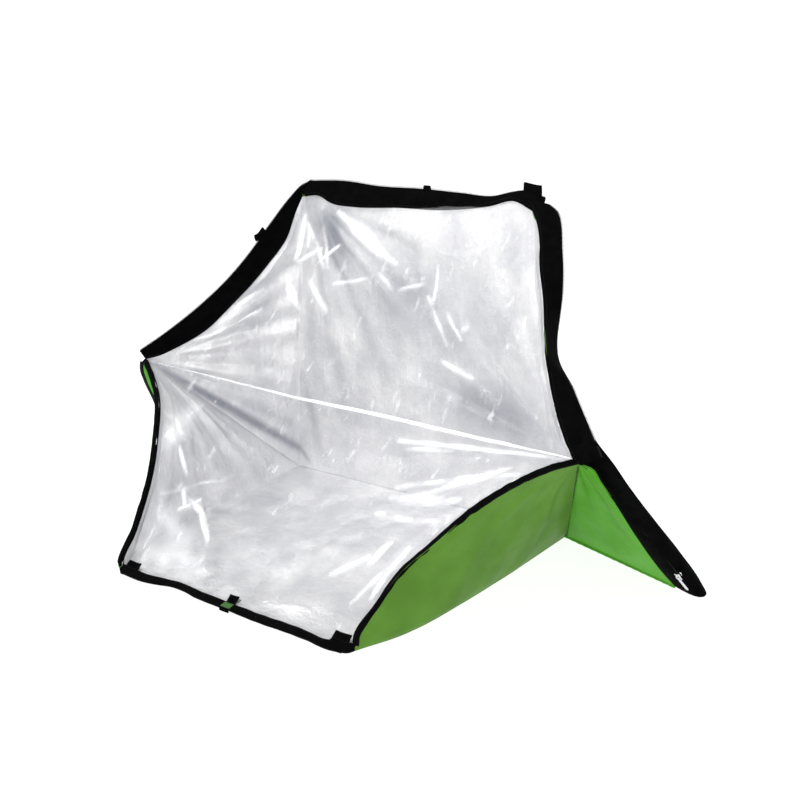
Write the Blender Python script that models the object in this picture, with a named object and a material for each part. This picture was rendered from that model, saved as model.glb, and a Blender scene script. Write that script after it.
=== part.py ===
"""Solar cooking bag: a padded, silver-lined sheet folded across its middle.

The lower half is the floor, the upper half the back. Both halves are described in the same local
coordinates: x across, d away from the fold line, h up from the cover's outer face. The back half is
the base half's mirror image in the plane that halves the angle between them.
Metres, +Z up. The origin is under the middle of the floor, and the front faces -Y.
"""

import bmesh
import bpy
from collections import namedtuple
from math import cos, radians, sin, tan
from mathutils import Vector

# Sheet
FLOOR_DEPTH = 0.462
FLOOR_FRONT_WIDTH = 0.408
FOLD_WIDTH = 0.515
BACK_HEIGHT = 0.500
BACK_TOP_WIDTH = 0.420
BACK_ANGLE = radians(92)

# Layers of the padded sheet, from the inside out
LINING_THICKNESS = 0.0008
FOAM_THICKNESS = 0.0035
COVER_THICKNESS = 0.0010
LAYER_GAP = 0.0003
STACK = LINING_THICKNESS + FOAM_THICKNESS + COVER_THICKNESS + 2 * LAYER_GAP

# The fold axis lies a little above the floor's lining, so that the closed halves clear each other
FOLD_CLEARANCE = 0.0011
FOLD_AXIS_HEIGHT = STACK + FOLD_CLEARANCE

# Side walls: tilt from their half's panel, and the stiff panel's free corner seen from the fold's end
BASE_WALL_TILT = radians(69)
BASE_WALL_CORNER_ANGLE = radians(30.6)
BASE_WALL_CORNER_REACH = 0.346
BACK_WALL_TILT = radians(56.5)
BACK_WALL_CORNER_ANGLE = radians(32.9)
BACK_WALL_CORNER_REACH = 0.329
PEAK_HALF_WIDTH = 0.376
PEAK_DISTANCE = 0.200

# Ears
EAR_TIP_HALF_WIDTH = 0.495
EAR_TIP_DISTANCE = 0.079
EAR_PADDING = 0.0040
EAR_THICKNESS = EAR_PADDING + 2 * COVER_THICKNESS + 2 * LAYER_GAP

# Edges
EDGE_GAP = 0.0003
CORNER_CUT = 0.012
BINDING_WIDTH = 0.008
BAND_WIDTH = 0.037
BAND_THICKNESS = 0.0024
COIL_WIDTH = 0.005
COIL_THICKNESS = 0.0022

# Zip slider and pull
SLIDER_LENGTH = 0.012
SLIDER_FROM_TIP = 0.040
SLIDER_PLATE = 0.0014
SLIDER_CLEARANCE = 0.0004
SLIDER_OVER_BAND = 0.003
SLIDER_BRIDGE = 0.002
PULL_LENGTH = 0.026
PULL_WIDTH = 0.006
PULL_THICKNESS = 0.0012

# Clear film window
FILM_THICKNESS = 0.0006
FILM_SIDE_INSET = 0.006
FILM_FRONT_INSET = 0.004
FLAP_FLAT_STRIP = 0.030
WINDOW_FLAT_STRIP = 0.010
FILM_WALL_CLEARANCE = 0.0024
FLAP_EDGE_INSET = 0.016
WINDOW_EDGE_INSET = 0.050
FILM_COLUMNS = (0.0, 0.25, 0.5, 0.75, 1.0)
FILM_SIDE_SHARES = (0.25, 0.5, 0.75)
FILM_SIDE_FALL = 2.5
SEAM_HALF_LENGTH = 0.345
SEAM_WIDTH = 0.010
SEAM_THICKNESS = 0.0012

# Front tabs
TAB_WIDTH = 0.024
TAB_LENGTH = 0.022
TAB_THICKNESS = 0.0013
TAB_FROM_CORNER = 0.020
PATCH_THICKNESS = 0.0008

# Loops
LOOP_WIDTH = 0.024
LOOP_HEIGHT = 0.022
LOOP_STRAP_WIDTH = 0.010
LOOP_STRAP_THICKNESS = 0.0018
FLAT_LOOP_WIDTH = 0.012
FLAT_LOOP_HEIGHT = 0.009
FLAT_LOOP_THICKNESS = 0.0036
BAND_LOOP_SHARE = 0.25

FOLD_Y = FLOOR_DEPTH / 2
INSIDE = Vector((0, 0, 0.15))
WINDOW_HEIGHT = STACK + EDGE_GAP + FILM_THICKNESS / 2
FLAP_HEIGHT = WINDOW_HEIGHT + PATCH_THICKNESS + EDGE_GAP

Half = namedtuple("Half", "name place depth end_half_width tilt corner_angle corner_reach")


def on_base(x, d, h):
    """A point of the base half in world coordinates."""
    return Vector((x, FOLD_Y - d, h))


def on_back(x, d, h):
    """A point of the back half: the base half mirrored in the plane that halves the open angle."""
    along = Vector((0, -cos(BACK_ANGLE), sin(BACK_ANGLE)))
    inward = Vector((0, -sin(BACK_ANGLE), -cos(BACK_ANGLE)))
    axis_point = Vector((x, FOLD_Y, FOLD_AXIS_HEIGHT))
    return axis_point + along * d + inward * (h - FOLD_AXIS_HEIGHT)


BASE = Half("base", on_base, FLOOR_DEPTH, FLOOR_FRONT_WIDTH / 2,
            BASE_WALL_TILT, BASE_WALL_CORNER_ANGLE, BASE_WALL_CORNER_REACH)
BACK = Half("back", on_back, BACK_HEIGHT, BACK_TOP_WIDTH / 2,
            BACK_WALL_TILT, BACK_WALL_CORNER_ANGLE, BACK_WALL_CORNER_REACH)
SIDES = {"right": 1, "left": -1}


def clear_scene():
    for thing in list(bpy.data.objects):
        bpy.data.objects.remove(thing, do_unlink=True)


def make_material(name, colour, roughness, metallic=0.0, alpha=1.0):
    material = bpy.data.materials.new(name)
    material.use_nodes = True
    shader = material.node_tree.nodes["Principled BSDF"]
    shader.inputs["Base Color"].default_value = (*colour, 1)
    shader.inputs["Roughness"].default_value = roughness
    shader.inputs["Metallic"].default_value = metallic
    shader.inputs["Alpha"].default_value = alpha
    return material


def make_pivot(name, position, parent=None):
    """An empty on a joint's axis. World axes, so its children only need its place."""
    pivot = bpy.data.objects.new(name, None)
    bpy.context.collection.objects.link(pivot)
    pivot["world"] = position[:]
    pivot.parent = parent
    pivot.location = position - (Vector(parent["world"]) if parent else Vector())
    return pivot


def add_piece(name, points, faces, material, pivot):
    """A closed solid from world points, hung on its pivot."""
    origin = Vector(pivot["world"])
    form = bmesh.new()
    corners = [form.verts.new(point - origin) for point in points]
    for face in faces:
        form.faces.new([corners[index] for index in face])
    bmesh.ops.recalc_face_normals(form, faces=form.faces[:])
    mesh = bpy.data.meshes.new(name)
    form.to_mesh(mesh)
    form.free()
    mesh.materials.append(material)
    piece = bpy.data.objects.new(name, mesh)
    bpy.context.collection.objects.link(piece)
    piece.parent = pivot
    return piece


def prism_faces(count):
    """Faces of a prism whose two end outlines have count points each."""
    sides = [(i, (i + 1) % count, (i + 1) % count + count, i + count) for i in range(count)]
    return [tuple(reversed(range(count))), tuple(range(count, 2 * count))] + sides


def plane_normal(corners):
    total = Vector()
    for here, there in zip(corners, corners[1:] + corners[:1]):
        total += (here - corners[0]).cross(there - corners[0])
    return total.normalized()


def normal_towards(corners, outward):
    normal = plane_normal(corners)
    return normal if normal.dot(outward) > 0 else -normal


def plate(name, corners, start, thickness, outward, material, pivot):
    """A flat plate on a planar outline, from start to start + thickness along its outward normal."""
    normal = normal_towards(corners, outward)
    near = [corner + normal * start for corner in corners]
    far = [corner + normal * (start + thickness) for corner in corners]
    return add_piece(name, near + far, prism_faces(len(corners)), material, pivot)


def inset(corners, margins):
    """The outline with each edge moved inwards by its own margin. Edge i starts at corner i."""
    normal = plane_normal(corners)
    edges = [there - here for here, there in zip(corners, corners[1:] + corners[:1])]
    inward = [normal.cross(edge).normalized() for edge in edges]
    moved = []
    for i, corner in enumerate(corners):
        before, after = inward[i - 1], inward[i]
        share = before.dot(after)
        shift = (before * (margins[i - 1] - share * margins[i])
                 + after * (margins[i] - share * margins[i - 1])) / (1 - share * share)
        moved.append(corner + shift)
    return moved


def edge_strip(corners, margins, edge, near, far):
    """The strip of an outline between two distances from one of its edges."""
    outer = inset(corners, [near if i == edge else m for i, m in enumerate(margins)])
    inner = inset(corners, [far if i == edge else m for i, m in enumerate(margins)])
    following = (edge + 1) % len(corners)
    return [outer[edge], outer[following], inner[following], inner[edge]]


def padded_layers(prefix, corners, margins, outward, pivot):
    """Lining, foam and cover of one panel, from its inner face outwards."""
    outline = inset(corners, margins)
    start = 0.0
    for layer, thickness in (("lining", LINING_THICKNESS), ("foam", FOAM_THICKNESS),
                             ("cover", COVER_THICKNESS)):
        plate(f"{prefix}_{layer}", outline, start, thickness, outward, MATERIALS[layer], pivot)
        start += thickness + LAYER_GAP


def band_and_coil(band_name, coil_name, corners, margins, edge, outward, pivot):
    """The zip band along one edge of an outline, with the coil on its outer side."""
    band = edge_strip(corners, margins, edge, COIL_WIDTH + EDGE_GAP, BAND_WIDTH)
    plate(band_name, band, (STACK - BAND_THICKNESS) / 2, BAND_THICKNESS, outward,
          MATERIALS["band"], pivot)
    coil = edge_strip(corners, margins, edge, 0, COIL_WIDTH)
    plate(coil_name, coil, (STACK - COIL_THICKNESS) / 2, COIL_THICKNESS, outward,
          MATERIALS["coil"], pivot)


def loft_film(name, rows, pivot):
    """A thin sheet through rows of points, from left to right and from row to row. Each cell is two
    triangles, cut the same way on both faces and mirrored about the middle."""
    across = len(rows[0])
    points = [point for row in rows for point in row]
    lift = []
    for r in range(len(rows)):
        before, after = rows[max(r - 1, 0)], rows[min(r + 1, len(rows) - 1)]
        side = rows[r][-1] - rows[r][0]
        normal = side.cross(after[0] - before[0]).normalized() * (FILM_THICKNESS / 2)
        lift += [normal] * across
    count = len(points)
    solid = [p - n for p, n in zip(points, lift)] + [p + n for p, n in zip(points, lift)]
    faces = []
    for r in range(len(rows) - 1):
        for c in range(across - 1):
            near, far = r * across + c, (r + 1) * across + c
            if c < across // 2:
                halves = [(near, near + 1, far + 1), (near, far + 1, far)]
            else:
                halves = [(near, near + 1, far), (near + 1, far + 1, far)]
            faces += halves
            faces += [tuple(index + count for index in reversed(half)) for half in halves]
    rim = list(range(across))
    rim += [r * across + across - 1 for r in range(1, len(rows))]
    rim += [(len(rows) - 1) * across + c for c in range(across - 2, -1, -1)]
    rim += [r * across for r in range(len(rows) - 2, 0, -1)]
    for here, there in zip(rim, rim[1:] + rim[:1]):
        faces += [(here, there, there + count), (here, there + count, here + count)]
    return add_piece(name, solid, faces, MATERIALS["film"], pivot)


def wall_corners(half, side):
    """Crease near the fold, crease's far end, the free corner, and the free corner's ray near the fold."""
    start = (FOLD_WIDTH / 2, 0.0, STACK)
    run = Vector((half.end_half_width - start[0], half.depth, 0)).normalized()
    across = Vector((run.y, -run.x, 0))
    up = across * cos(half.tilt) + Vector((0, 0, sin(half.tilt)))
    ray = run * cos(half.corner_angle) + up * sin(half.corner_angle)
    local = [Vector(start) + run * CORNER_CUT, Vector((half.end_half_width, half.depth, STACK)),
             Vector(start) + ray * half.corner_reach, Vector(start) + ray * CORNER_CUT]
    return [half.place(point.x * side, point.y, point.z) for point in local]


def peak_height():
    """The peak's height over the fold axis: it lies in the plane that halves the open angle."""
    return PEAK_DISTANCE * tan(BACK_ANGLE / 2)


def gore_corners(half, side):
    """Wall corner's ray near the fold, wall corner, peak, and the seam near the fold."""
    wall = wall_corners(half, side)
    start = half.place(FOLD_WIDTH / 2 * side, 0, STACK)
    peak = half.place(PEAK_HALF_WIDTH * side, PEAK_DISTANCE, STACK + peak_height())
    return [wall[3], wall[2], peak, start + (peak - start).normalized() * CORNER_CUT]


def joining_margins(half, side):
    """How far wall and gore stop short of their shared ray, so that their outer corners clear."""
    wall, gore = wall_corners(half, side), gore_corners(half, side)
    outward = away_from_inside(wall)
    wall_normal = normal_towards(wall, outward)
    gore_normal = normal_towards(gore, away_from_inside(gore))
    ray = (gore[1] - gore[0]).normalized()
    into_gore = gore[2] - gore[1]
    into_gore -= ray * into_gore.dot(ray)
    closes = into_gore.dot(wall_normal) > 0
    bend = wall_normal.angle(gore_normal)
    return EDGE_GAP + (STACK * tan(bend / 2) if closes else 0)


def away_from_inside(corners):
    return sum(corners, Vector()) / len(corners) - INSIDE


def ear_corners(side):
    """Seam near the fold, peak, tip, and the ground edge near the fold, in the ear's middle plane."""
    start = on_base(FOLD_WIDTH / 2 * side, 0, FOLD_AXIS_HEIGHT)
    peak = on_base(PEAK_HALF_WIDTH * side, PEAK_DISTANCE, FOLD_AXIS_HEIGHT + peak_height())
    tip = on_base(EAR_TIP_HALF_WIDTH * side, EAR_TIP_DISTANCE, EAR_THICKNESS / 2)
    return [start + (peak - start).normalized() * CORNER_CUT, peak, tip,
            start + (tip - start).normalized() * CORNER_CUT]


def ear_seam_margin(side):
    """How far the ear stops short of the seam, to clear the outer faces of both gores."""
    corners = ear_corners(side)
    seam = (corners[1] - corners[0]).normalized()
    outward = corners[2] - corners[1]
    outward = (outward - seam * outward.dot(seam)).normalized()
    reach = 0.0
    for half in (BASE, BACK):
        gore = gore_corners(half, side)
        reach = max(reach, STACK * normal_towards(gore, away_from_inside(gore)).dot(outward))
    return reach + FOLD_CLEARANCE / 2 + EDGE_GAP


def make_base(pivot):
    """Floor layers, the cover's strip under the fold, and the front binding."""
    corners = [on_base(-FOLD_WIDTH / 2, 0, STACK), on_base(FOLD_WIDTH / 2, 0, STACK),
               on_base(FLOOR_FRONT_WIDTH / 2, FLOOR_DEPTH, STACK),
               on_base(-FLOOR_FRONT_WIDTH / 2, FLOOR_DEPTH, STACK)]
    down = Vector((0, 0, -1))
    margins = [EDGE_GAP, EDGE_GAP, BINDING_WIDTH + EDGE_GAP, EDGE_GAP]
    padded_layers("floor", corners, margins, down, pivot)
    binding = edge_strip(corners, margins, 2, 0, BINDING_WIDTH)
    plate("front_binding", binding, 0, STACK, down, MATERIALS["band"], pivot)
    strip_half = FOLD_WIDTH / 2 - EDGE_GAP
    strip = [Vector((x, y, 0)) for x, y in (
        (-strip_half, FOLD_Y), (strip_half, FOLD_Y),
        (strip_half, FOLD_Y + FOLD_AXIS_HEIGHT), (-strip_half, FOLD_Y + FOLD_AXIS_HEIGHT))]
    plate("fold_strip", strip, 0, FOLD_AXIS_HEIGHT, -down, MATERIALS["cover"], pivot)


def make_back(pivot):
    """Back panel layers and the top zip band."""
    corners = [on_back(-FOLD_WIDTH / 2, 0, STACK), on_back(FOLD_WIDTH / 2, 0, STACK),
               on_back(BACK_TOP_WIDTH / 2, BACK_HEIGHT, STACK),
               on_back(-BACK_TOP_WIDTH / 2, BACK_HEIGHT, STACK)]
    backwards = Vector((0, 1, 0))
    margins = [2 * EDGE_GAP, EDGE_GAP, BAND_WIDTH + EDGE_GAP, EDGE_GAP]
    padded_layers("back", corners, margins, backwards, pivot)
    band_and_coil("top_band", "top_zip_coil", corners, margins, 2, backwards, pivot)


def make_wall(half, side_name, pivot):
    """One stiff side wall: a binding closes a base wall, the zip band a back wall."""
    side = SIDES[side_name]
    corners = wall_corners(half, side)
    outward = away_from_inside(corners)
    prefix = f"{side_name}_{half.name}_wall"
    joining = joining_margins(half, side)
    if half is BASE:
        margins = [EDGE_GAP, BINDING_WIDTH + EDGE_GAP, joining, 0]
        binding = edge_strip(corners, margins, 1, 0, BINDING_WIDTH)
        plate(f"{side_name}_wall_binding", binding, 0, STACK, outward, MATERIALS["band"], pivot)
    else:
        margins = [EDGE_GAP, BAND_WIDTH + EDGE_GAP, joining, 0]
        band_and_coil(f"{side_name}_side_band", f"{side_name}_side_zip_coil", corners, margins, 1,
                      outward, pivot)
    padded_layers(prefix, corners, margins, outward, pivot)


def make_gore(half, side_name, pivot):
    """The soft corner between a stiff wall and the seam, which creases as the bag folds."""
    side = SIDES[side_name]
    corners = gore_corners(half, side)
    outward = away_from_inside(corners)
    edge_margin = 0 if half is BASE else BAND_WIDTH + EDGE_GAP
    margins = [joining_margins(half, side), edge_margin, 0, 0]
    plate(f"{side_name}_{half.name}_gore", inset(corners, margins), 0, STACK, outward,
          MATERIALS["cover"], pivot)
    if half is BACK:
        band = edge_strip(corners, margins, 1, 0, BAND_WIDTH)
        plate(f"{side_name}_peak_band", band, (STACK - BAND_THICKNESS) / 2, BAND_THICKNESS,
              outward, MATERIALS["band"], pivot)


def make_ear(side_name, pivot):
    """Front cover, pressed padding and rear cover, with the zip band along the long edge."""
    side = SIDES[side_name]
    corners = ear_corners(side)
    rearward = Vector((0, 1, 0))
    margins = [ear_seam_margin(side), BAND_WIDTH + EDGE_GAP, 0, 0]
    outline = inset(corners, margins)
    start = -EAR_THICKNESS / 2
    for layer, thickness, material in (("front_cover", COVER_THICKNESS, "cover"),
                                       ("padding", EAR_PADDING, "foam"),
                                       ("rear_cover", COVER_THICKNESS, "cover")):
        plate(f"{side_name}_ear_{layer}", outline, start, thickness, rearward,
              MATERIALS[material], pivot)
        start += thickness + LAYER_GAP
    band = edge_strip(corners, margins, 1, COIL_WIDTH + EDGE_GAP, BAND_WIDTH)
    plate(f"{side_name}_ear_band", band, -BAND_THICKNESS / 2, BAND_THICKNESS, rearward,
          MATERIALS["band"], pivot)
    coil = edge_strip(corners, margins, 1, 0, COIL_WIDTH)
    plate(f"{side_name}_ear_zip_coil", coil, -COIL_THICKNESS / 2, COIL_THICKNESS, rearward,
          MATERIALS["coil"], pivot)


def zip_frame():
    """The right ear zip's line: its lower end, and the directions along, outwards and rearwards."""
    corners = ear_corners(1)
    along = (corners[1] - corners[2]).normalized()
    rear = normal_towards(corners, Vector((0, 1, 0)))
    outwards = along.cross(rear)
    if outwards.dot(corners[2] - corners[0]) < 0:
        outwards = -outwards
    return corners[2], along, outwards, rear


def slider_place():
    tip, along, _, _ = zip_frame()
    return tip + along * SLIDER_FROM_TIP


def slider_face():
    """How far the slider's outer faces lie from the ear's middle plane."""
    return BAND_THICKNESS / 2 + SLIDER_CLEARANCE + SLIDER_PLATE


def pull_axis_offset():
    """The pull's pin stands clear of the slider's face by more than the pull's corner sweeps."""
    return slider_face() + EDGE_GAP + PULL_THICKNESS / 2


def make_slider(pivot):
    """A U-shaped slider that holds the coil and the band's edge between its plates."""
    _, along, outwards, rear = zip_frame()
    slot = BAND_THICKNESS / 2 + SLIDER_CLEARANCE
    face = slider_face()
    mouth = -(COIL_WIDTH + SLIDER_OVER_BAND)
    bridge = SLIDER_CLEARANCE
    end = bridge + SLIDER_BRIDGE
    outline = [(mouth, slot), (bridge, slot), (bridge, -slot), (mouth, -slot),
               (mouth, -face), (end, -face), (end, face), (mouth, face)]
    centre = slider_place()
    rings = []
    for step in (-SLIDER_LENGTH / 2, SLIDER_LENGTH / 2):
        rings += [centre + along * step + outwards * w + rear * n for w, n in outline]
    add_piece("zip_slider", rings, prism_faces(len(outline)), MATERIALS["metal"], pivot)


def make_pull(pivot):
    """The pull lies on the slider's front face and points to the ear's tip."""
    _, along, outwards, rear = zip_frame()
    centre = slider_place() - outwards * (COIL_WIDTH / 2) - rear * pull_axis_offset()
    start = PULL_THICKNESS / 2
    outline = [centre + along * a + outwards * w for a, w in (
        (start, -PULL_WIDTH / 2), (start, PULL_WIDTH / 2),
        (-PULL_LENGTH, PULL_WIDTH / 2), (-PULL_LENGTH, -PULL_WIDTH / 2))]
    plate("zip_pull", outline, -PULL_THICKNESS / 2, PULL_THICKNESS, rear, MATERIALS["metal"], pivot)


def film_row(half, half_width, d, h):
    return [half.place((2 * share - 1) * half_width, d, h) for share in FILM_COLUMNS]


def seam_centre():
    """The line where flap and upper window are welded: d and h on the base half."""
    return PEAK_DISTANCE, FOLD_AXIS_HEIGHT + peak_height() - SEAM_THICKNESS


def film_side(half, side, share, edge_inset):
    """A point of a film panel's side, just inside the lining and edge_inset from the side walls' free
    edge. Share runs from 0 at the crease's far end over 0.5 at the wall's corner to 1 at the peak."""
    wall, gore = wall_corners(half, side), gore_corners(half, side)
    edge = wall[1].lerp(wall[2], 2 * share) if share <= 0.5 else gore[1].lerp(gore[2], 2 * share - 1)
    inward = Vector()
    for panel, reached in ((wall, share <= 0.5), (gore, share >= 0.5)):
        if reached:
            inward -= normal_towards(panel, away_from_inside(panel))
    fold_corner = half.place(FOLD_WIDTH / 2 * side, 0, STACK)
    towards_fold = (fold_corner - edge).normalized()
    return edge + towards_fold * edge_inset + inward.normalized() * FILM_WALL_CLEARANCE


def film_rows(half, end_half_width, edge_distance, flat_strip, edge_inset, height):
    """Rows of one film panel, from its outer edge over the flat strip to just before the seam. Between
    them the sides lie on the walls, and the film falls from there to its straight middle."""
    d_seam, h_seam = seam_centre()
    flat_end = edge_distance - flat_strip
    slope = Vector((flat_end - d_seam, height - h_seam))
    near_seam = Vector((d_seam, h_seam)) + slope.normalized() * (SEAM_WIDTH / 2 + EDGE_GAP)
    first = film_row(half, end_half_width, flat_end, height)
    last = film_row(half, SEAM_HALF_LENGTH, near_seam.x, near_seam.y)
    run = last[2] - first[2]
    rows = [film_row(half, end_half_width, edge_distance, height), first]
    for share in FILM_SIDE_SHARES:
        left, right = film_side(half, -1, share, edge_inset), film_side(half, 1, share, edge_inset)
        reach = ((left + right) / 2 - first[2]).dot(run) / run.dot(run)
        straight = [start.lerp(end, reach) for start, end in zip(first, last)]
        rows.append([point + (left - straight[0]) * (1 - column) ** FILM_SIDE_FALL
                     + (right - straight[-1]) * column ** FILM_SIDE_FALL
                     for point, column in zip(straight, FILM_COLUMNS)])
    return rows + [last]


def make_upper_window(pivot):
    edge = BACK_HEIGHT - BAND_WIDTH + FILM_SIDE_INSET
    rows = film_rows(BACK, BACK_TOP_WIDTH / 2 - FILM_SIDE_INSET, edge, WINDOW_FLAT_STRIP,
                     WINDOW_EDGE_INSET, WINDOW_HEIGHT)
    loft_film("upper_window", rows, pivot)


def make_window_flap(pivot):
    edge = FLOOR_DEPTH - FILM_FRONT_INSET
    rows = film_rows(BASE, FLOOR_FRONT_WIDTH / 2 - FILM_SIDE_INSET, edge, FLAP_FLAT_STRIP,
                     FLAP_EDGE_INSET, FLAP_HEIGHT)
    loft_film("window_flap", rows, pivot)


def make_window_seam(pivot):
    """The welded strip between the two film panels, tilted halfway between them."""
    d_seam, h_seam = seam_centre()
    centre = on_base(0, d_seam, h_seam)
    slope = Vector((0, cos(BACK_ANGLE / 2), sin(BACK_ANGLE / 2)))
    outline = [centre + Vector((x * SEAM_HALF_LENGTH, 0, 0)) + slope * (s * SEAM_WIDTH / 2)
               for x, s in ((-1, -1), (1, -1), (1, 1), (-1, 1))]
    plate("window_seam", outline, -SEAM_THICKNESS / 2, SEAM_THICKNESS, Vector((0, -1, 1)),
          MATERIALS["film"], pivot)


def tab_places():
    edge = FLOOR_FRONT_WIDTH / 2 - TAB_FROM_CORNER
    return {"left": -edge, "centre": 0.0, "right": edge}


def tab_bottom():
    return FLAP_HEIGHT + FILM_THICKNESS / 2 + EDGE_GAP


def make_tab(name, x, pivot, base_pivot):
    """A tab over the flap's front edge, and the patch under the film that it grips."""
    front = -FOLD_Y + EDGE_GAP
    xs = (x - TAB_WIDTH / 2, x + TAB_WIDTH / 2)
    outline = [Vector((xs[i], front + TAB_LENGTH * j, tab_bottom()))
               for i, j in ((0, 0), (1, 0), (1, 1), (0, 1))]
    up = Vector((0, 0, 1))
    plate(f"{name}_tab", outline, 0, TAB_THICKNESS, up, MATERIALS["band"], pivot)
    patch_front = -FOLD_Y + BINDING_WIDTH + EDGE_GAP
    patch = [Vector((xs[i], patch_front + (TAB_LENGTH - BINDING_WIDTH) * j, STACK + EDGE_GAP))
             for i, j in ((0, 0), (1, 0), (1, 1), (0, 1))]
    plate(f"{name}_patch", patch, 0, PATCH_THICKNESS, up, MATERIALS["patch"], base_pivot)


def make_corner_loop(pivot):
    """An open strap loop that stands on the top band's right corner."""
    half_width = LOOP_WIDTH / 2
    bottom = BACK_HEIGHT + EDGE_GAP
    x_centre = BACK_TOP_WIDTH / 2 - half_width
    wall = LOOP_STRAP_THICKNESS
    outer = [(-half_width, 0), (half_width, 0), (half_width, LOOP_HEIGHT), (-half_width, LOOP_HEIGHT)]
    inner = [(-half_width + wall, wall), (half_width - wall, wall),
             (half_width - wall, LOOP_HEIGHT - wall), (-half_width + wall, LOOP_HEIGHT - wall)]
    middle = STACK / 2
    points = []
    for h in (middle - LOOP_STRAP_WIDTH / 2, middle + LOOP_STRAP_WIDTH / 2):
        points += [on_back(x_centre + x, bottom + z, h) for x, z in outer + inner]
    faces = []
    for i in range(4):
        j = (i + 1) % 4
        faces += [(i, j, j + 4, i + 4), (i + 8, i + 12, j + 12, j + 8),
                  (i, i + 8, j + 8, j), (i + 4, j + 4, j + 12, i + 12)]
    add_piece("top_corner_loop", points, faces, MATERIALS["band"], pivot)


def flat_loop(name, start, along, up, pivot):
    """A strap folded flat on itself, standing on a band's outer edge."""
    outline = [start + along * a + up * u for a, u in (
        (-FLAT_LOOP_WIDTH / 2, EDGE_GAP), (FLAT_LOOP_WIDTH / 2, EDGE_GAP),
        (FLAT_LOOP_WIDTH / 2, FLAT_LOOP_HEIGHT), (-FLAT_LOOP_WIDTH / 2, FLAT_LOOP_HEIGHT))]
    plate(name, outline, -FLAT_LOOP_THICKNESS / 2, FLAT_LOOP_THICKNESS, along.cross(up),
          MATERIALS["band"], pivot)


def make_flat_loops(back_pivot, wall_pivot):
    centre = on_back(0, BACK_HEIGHT, STACK / 2)
    up = (on_back(0, 1, 0) - on_back(0, 0, 0)).normalized()
    flat_loop("top_centre_loop", centre, Vector((1, 0, 0)), up, back_pivot)
    corners = wall_corners(BACK, SIDES["left"])
    outward = normal_towards(corners, away_from_inside(corners))
    along = (corners[2] - corners[1]).normalized()
    away = along.cross(outward)
    if away.dot(corners[2] - corners[0]) < 0:
        away = -away
    place = corners[1].lerp(corners[2], BAND_LOOP_SHARE) + outward * (STACK / 2)
    flat_loop("left_band_loop", place, along, away, wall_pivot)


clear_scene()
MATERIALS = {
    "cover": make_material("cover_green", (0.10, 0.26, 0.035), 0.55),
    "foam": make_material("foam_white", (0.80, 0.80, 0.78), 0.9),
    "lining": make_material("lining_silver", (0.72, 0.73, 0.75), 0.35, 0.6),
    "band": make_material("band_black", (0.012, 0.012, 0.013), 0.75),
    "coil": make_material("coil_black", (0.02, 0.02, 0.02), 0.45),
    "metal": make_material("zip_metal", (0.75, 0.75, 0.77), 0.3, 1.0),
    "film": make_material("clear_film", (0.95, 0.97, 0.98), 0.05, 0.0, 0.25),
    "patch": make_material("patch_green", (0.10, 0.28, 0.05), 0.8),
}

base = make_pivot("base_pivot", Vector((0, 0, 0)))
back = make_pivot("back_fold_pivot", Vector((0, FOLD_Y, FOLD_AXIS_HEIGHT)), base)
make_base(base)
make_back(back)

wall_pivots = {}
for side_name, side in SIDES.items():
    for half, parent in ((BASE, base), (BACK, back)):
        crease_start = half.place(FOLD_WIDTH / 2 * side, 0, STACK)
        pivot = make_pivot(f"{side_name}_{half.name}_wall_pivot", crease_start, parent)
        wall_pivots[side_name, half.name] = pivot
        make_wall(half, side_name, pivot)
        make_gore(half, side_name, parent)
    ear_start = on_base(FOLD_WIDTH / 2 * side, 0, FOLD_AXIS_HEIGHT)
    ear_pivot = make_pivot(f"{side_name}_ear_pivot", ear_start, base)
    make_ear(side_name, ear_pivot)
    if side_name == "right":
        slider_pivot = make_pivot("zip_slider_pivot", slider_place(), ear_pivot)
        make_slider(slider_pivot)
        _, _, outwards, rear = zip_frame()
        pin = slider_place() - outwards * (COIL_WIDTH / 2) - rear * pull_axis_offset()
        make_pull(make_pivot("zip_pull_pivot", pin, slider_pivot))

make_upper_window(back)
seam_pivot = make_pivot("window_seam_pivot", on_base(0, *seam_centre()), base)
make_window_seam(seam_pivot)
make_window_flap(make_pivot("window_flap_pivot", on_base(0, *seam_centre()), seam_pivot))
for tab_name, tab_x in tab_places().items():
    tab_pivot = make_pivot(f"{tab_name}_tab_pivot", Vector((tab_x, -FOLD_Y, tab_bottom())), base)
    make_tab(tab_name, tab_x, tab_pivot, base)
make_corner_loop(back)
make_flat_loops(back, wall_pivots["left", "back"])
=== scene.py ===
import math

import bpy
import numpy as np
from mathutils import Matrix, Vector


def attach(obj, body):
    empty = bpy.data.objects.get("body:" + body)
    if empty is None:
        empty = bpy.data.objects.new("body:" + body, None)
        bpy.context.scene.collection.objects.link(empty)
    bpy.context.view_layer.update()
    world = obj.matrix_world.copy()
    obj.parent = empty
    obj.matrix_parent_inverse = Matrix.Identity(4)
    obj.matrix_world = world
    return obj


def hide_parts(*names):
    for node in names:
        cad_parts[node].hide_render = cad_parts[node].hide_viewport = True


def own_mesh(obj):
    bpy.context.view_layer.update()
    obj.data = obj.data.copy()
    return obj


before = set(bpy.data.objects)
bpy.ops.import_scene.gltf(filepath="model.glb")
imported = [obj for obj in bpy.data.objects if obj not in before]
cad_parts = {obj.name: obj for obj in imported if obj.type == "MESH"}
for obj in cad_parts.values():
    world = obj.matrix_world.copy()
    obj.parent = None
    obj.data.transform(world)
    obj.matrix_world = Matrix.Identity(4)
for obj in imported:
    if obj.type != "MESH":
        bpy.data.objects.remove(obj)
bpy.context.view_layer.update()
scene = bpy.context.scene

# Camera
# It stands in front of the bag, a little to its right and above it, at the distance where the
# corners of the floor, the back and the right peak fall on the places they have in the photograph.
def look_at(place, target):
    """The matrix of a camera or lamp that stands at place and points to target."""
    way = (Vector(target) - Vector(place)).to_track_quat("-Z", "Y")
    return Matrix.Translation(place) @ way.to_matrix().to_4x4()


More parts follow.
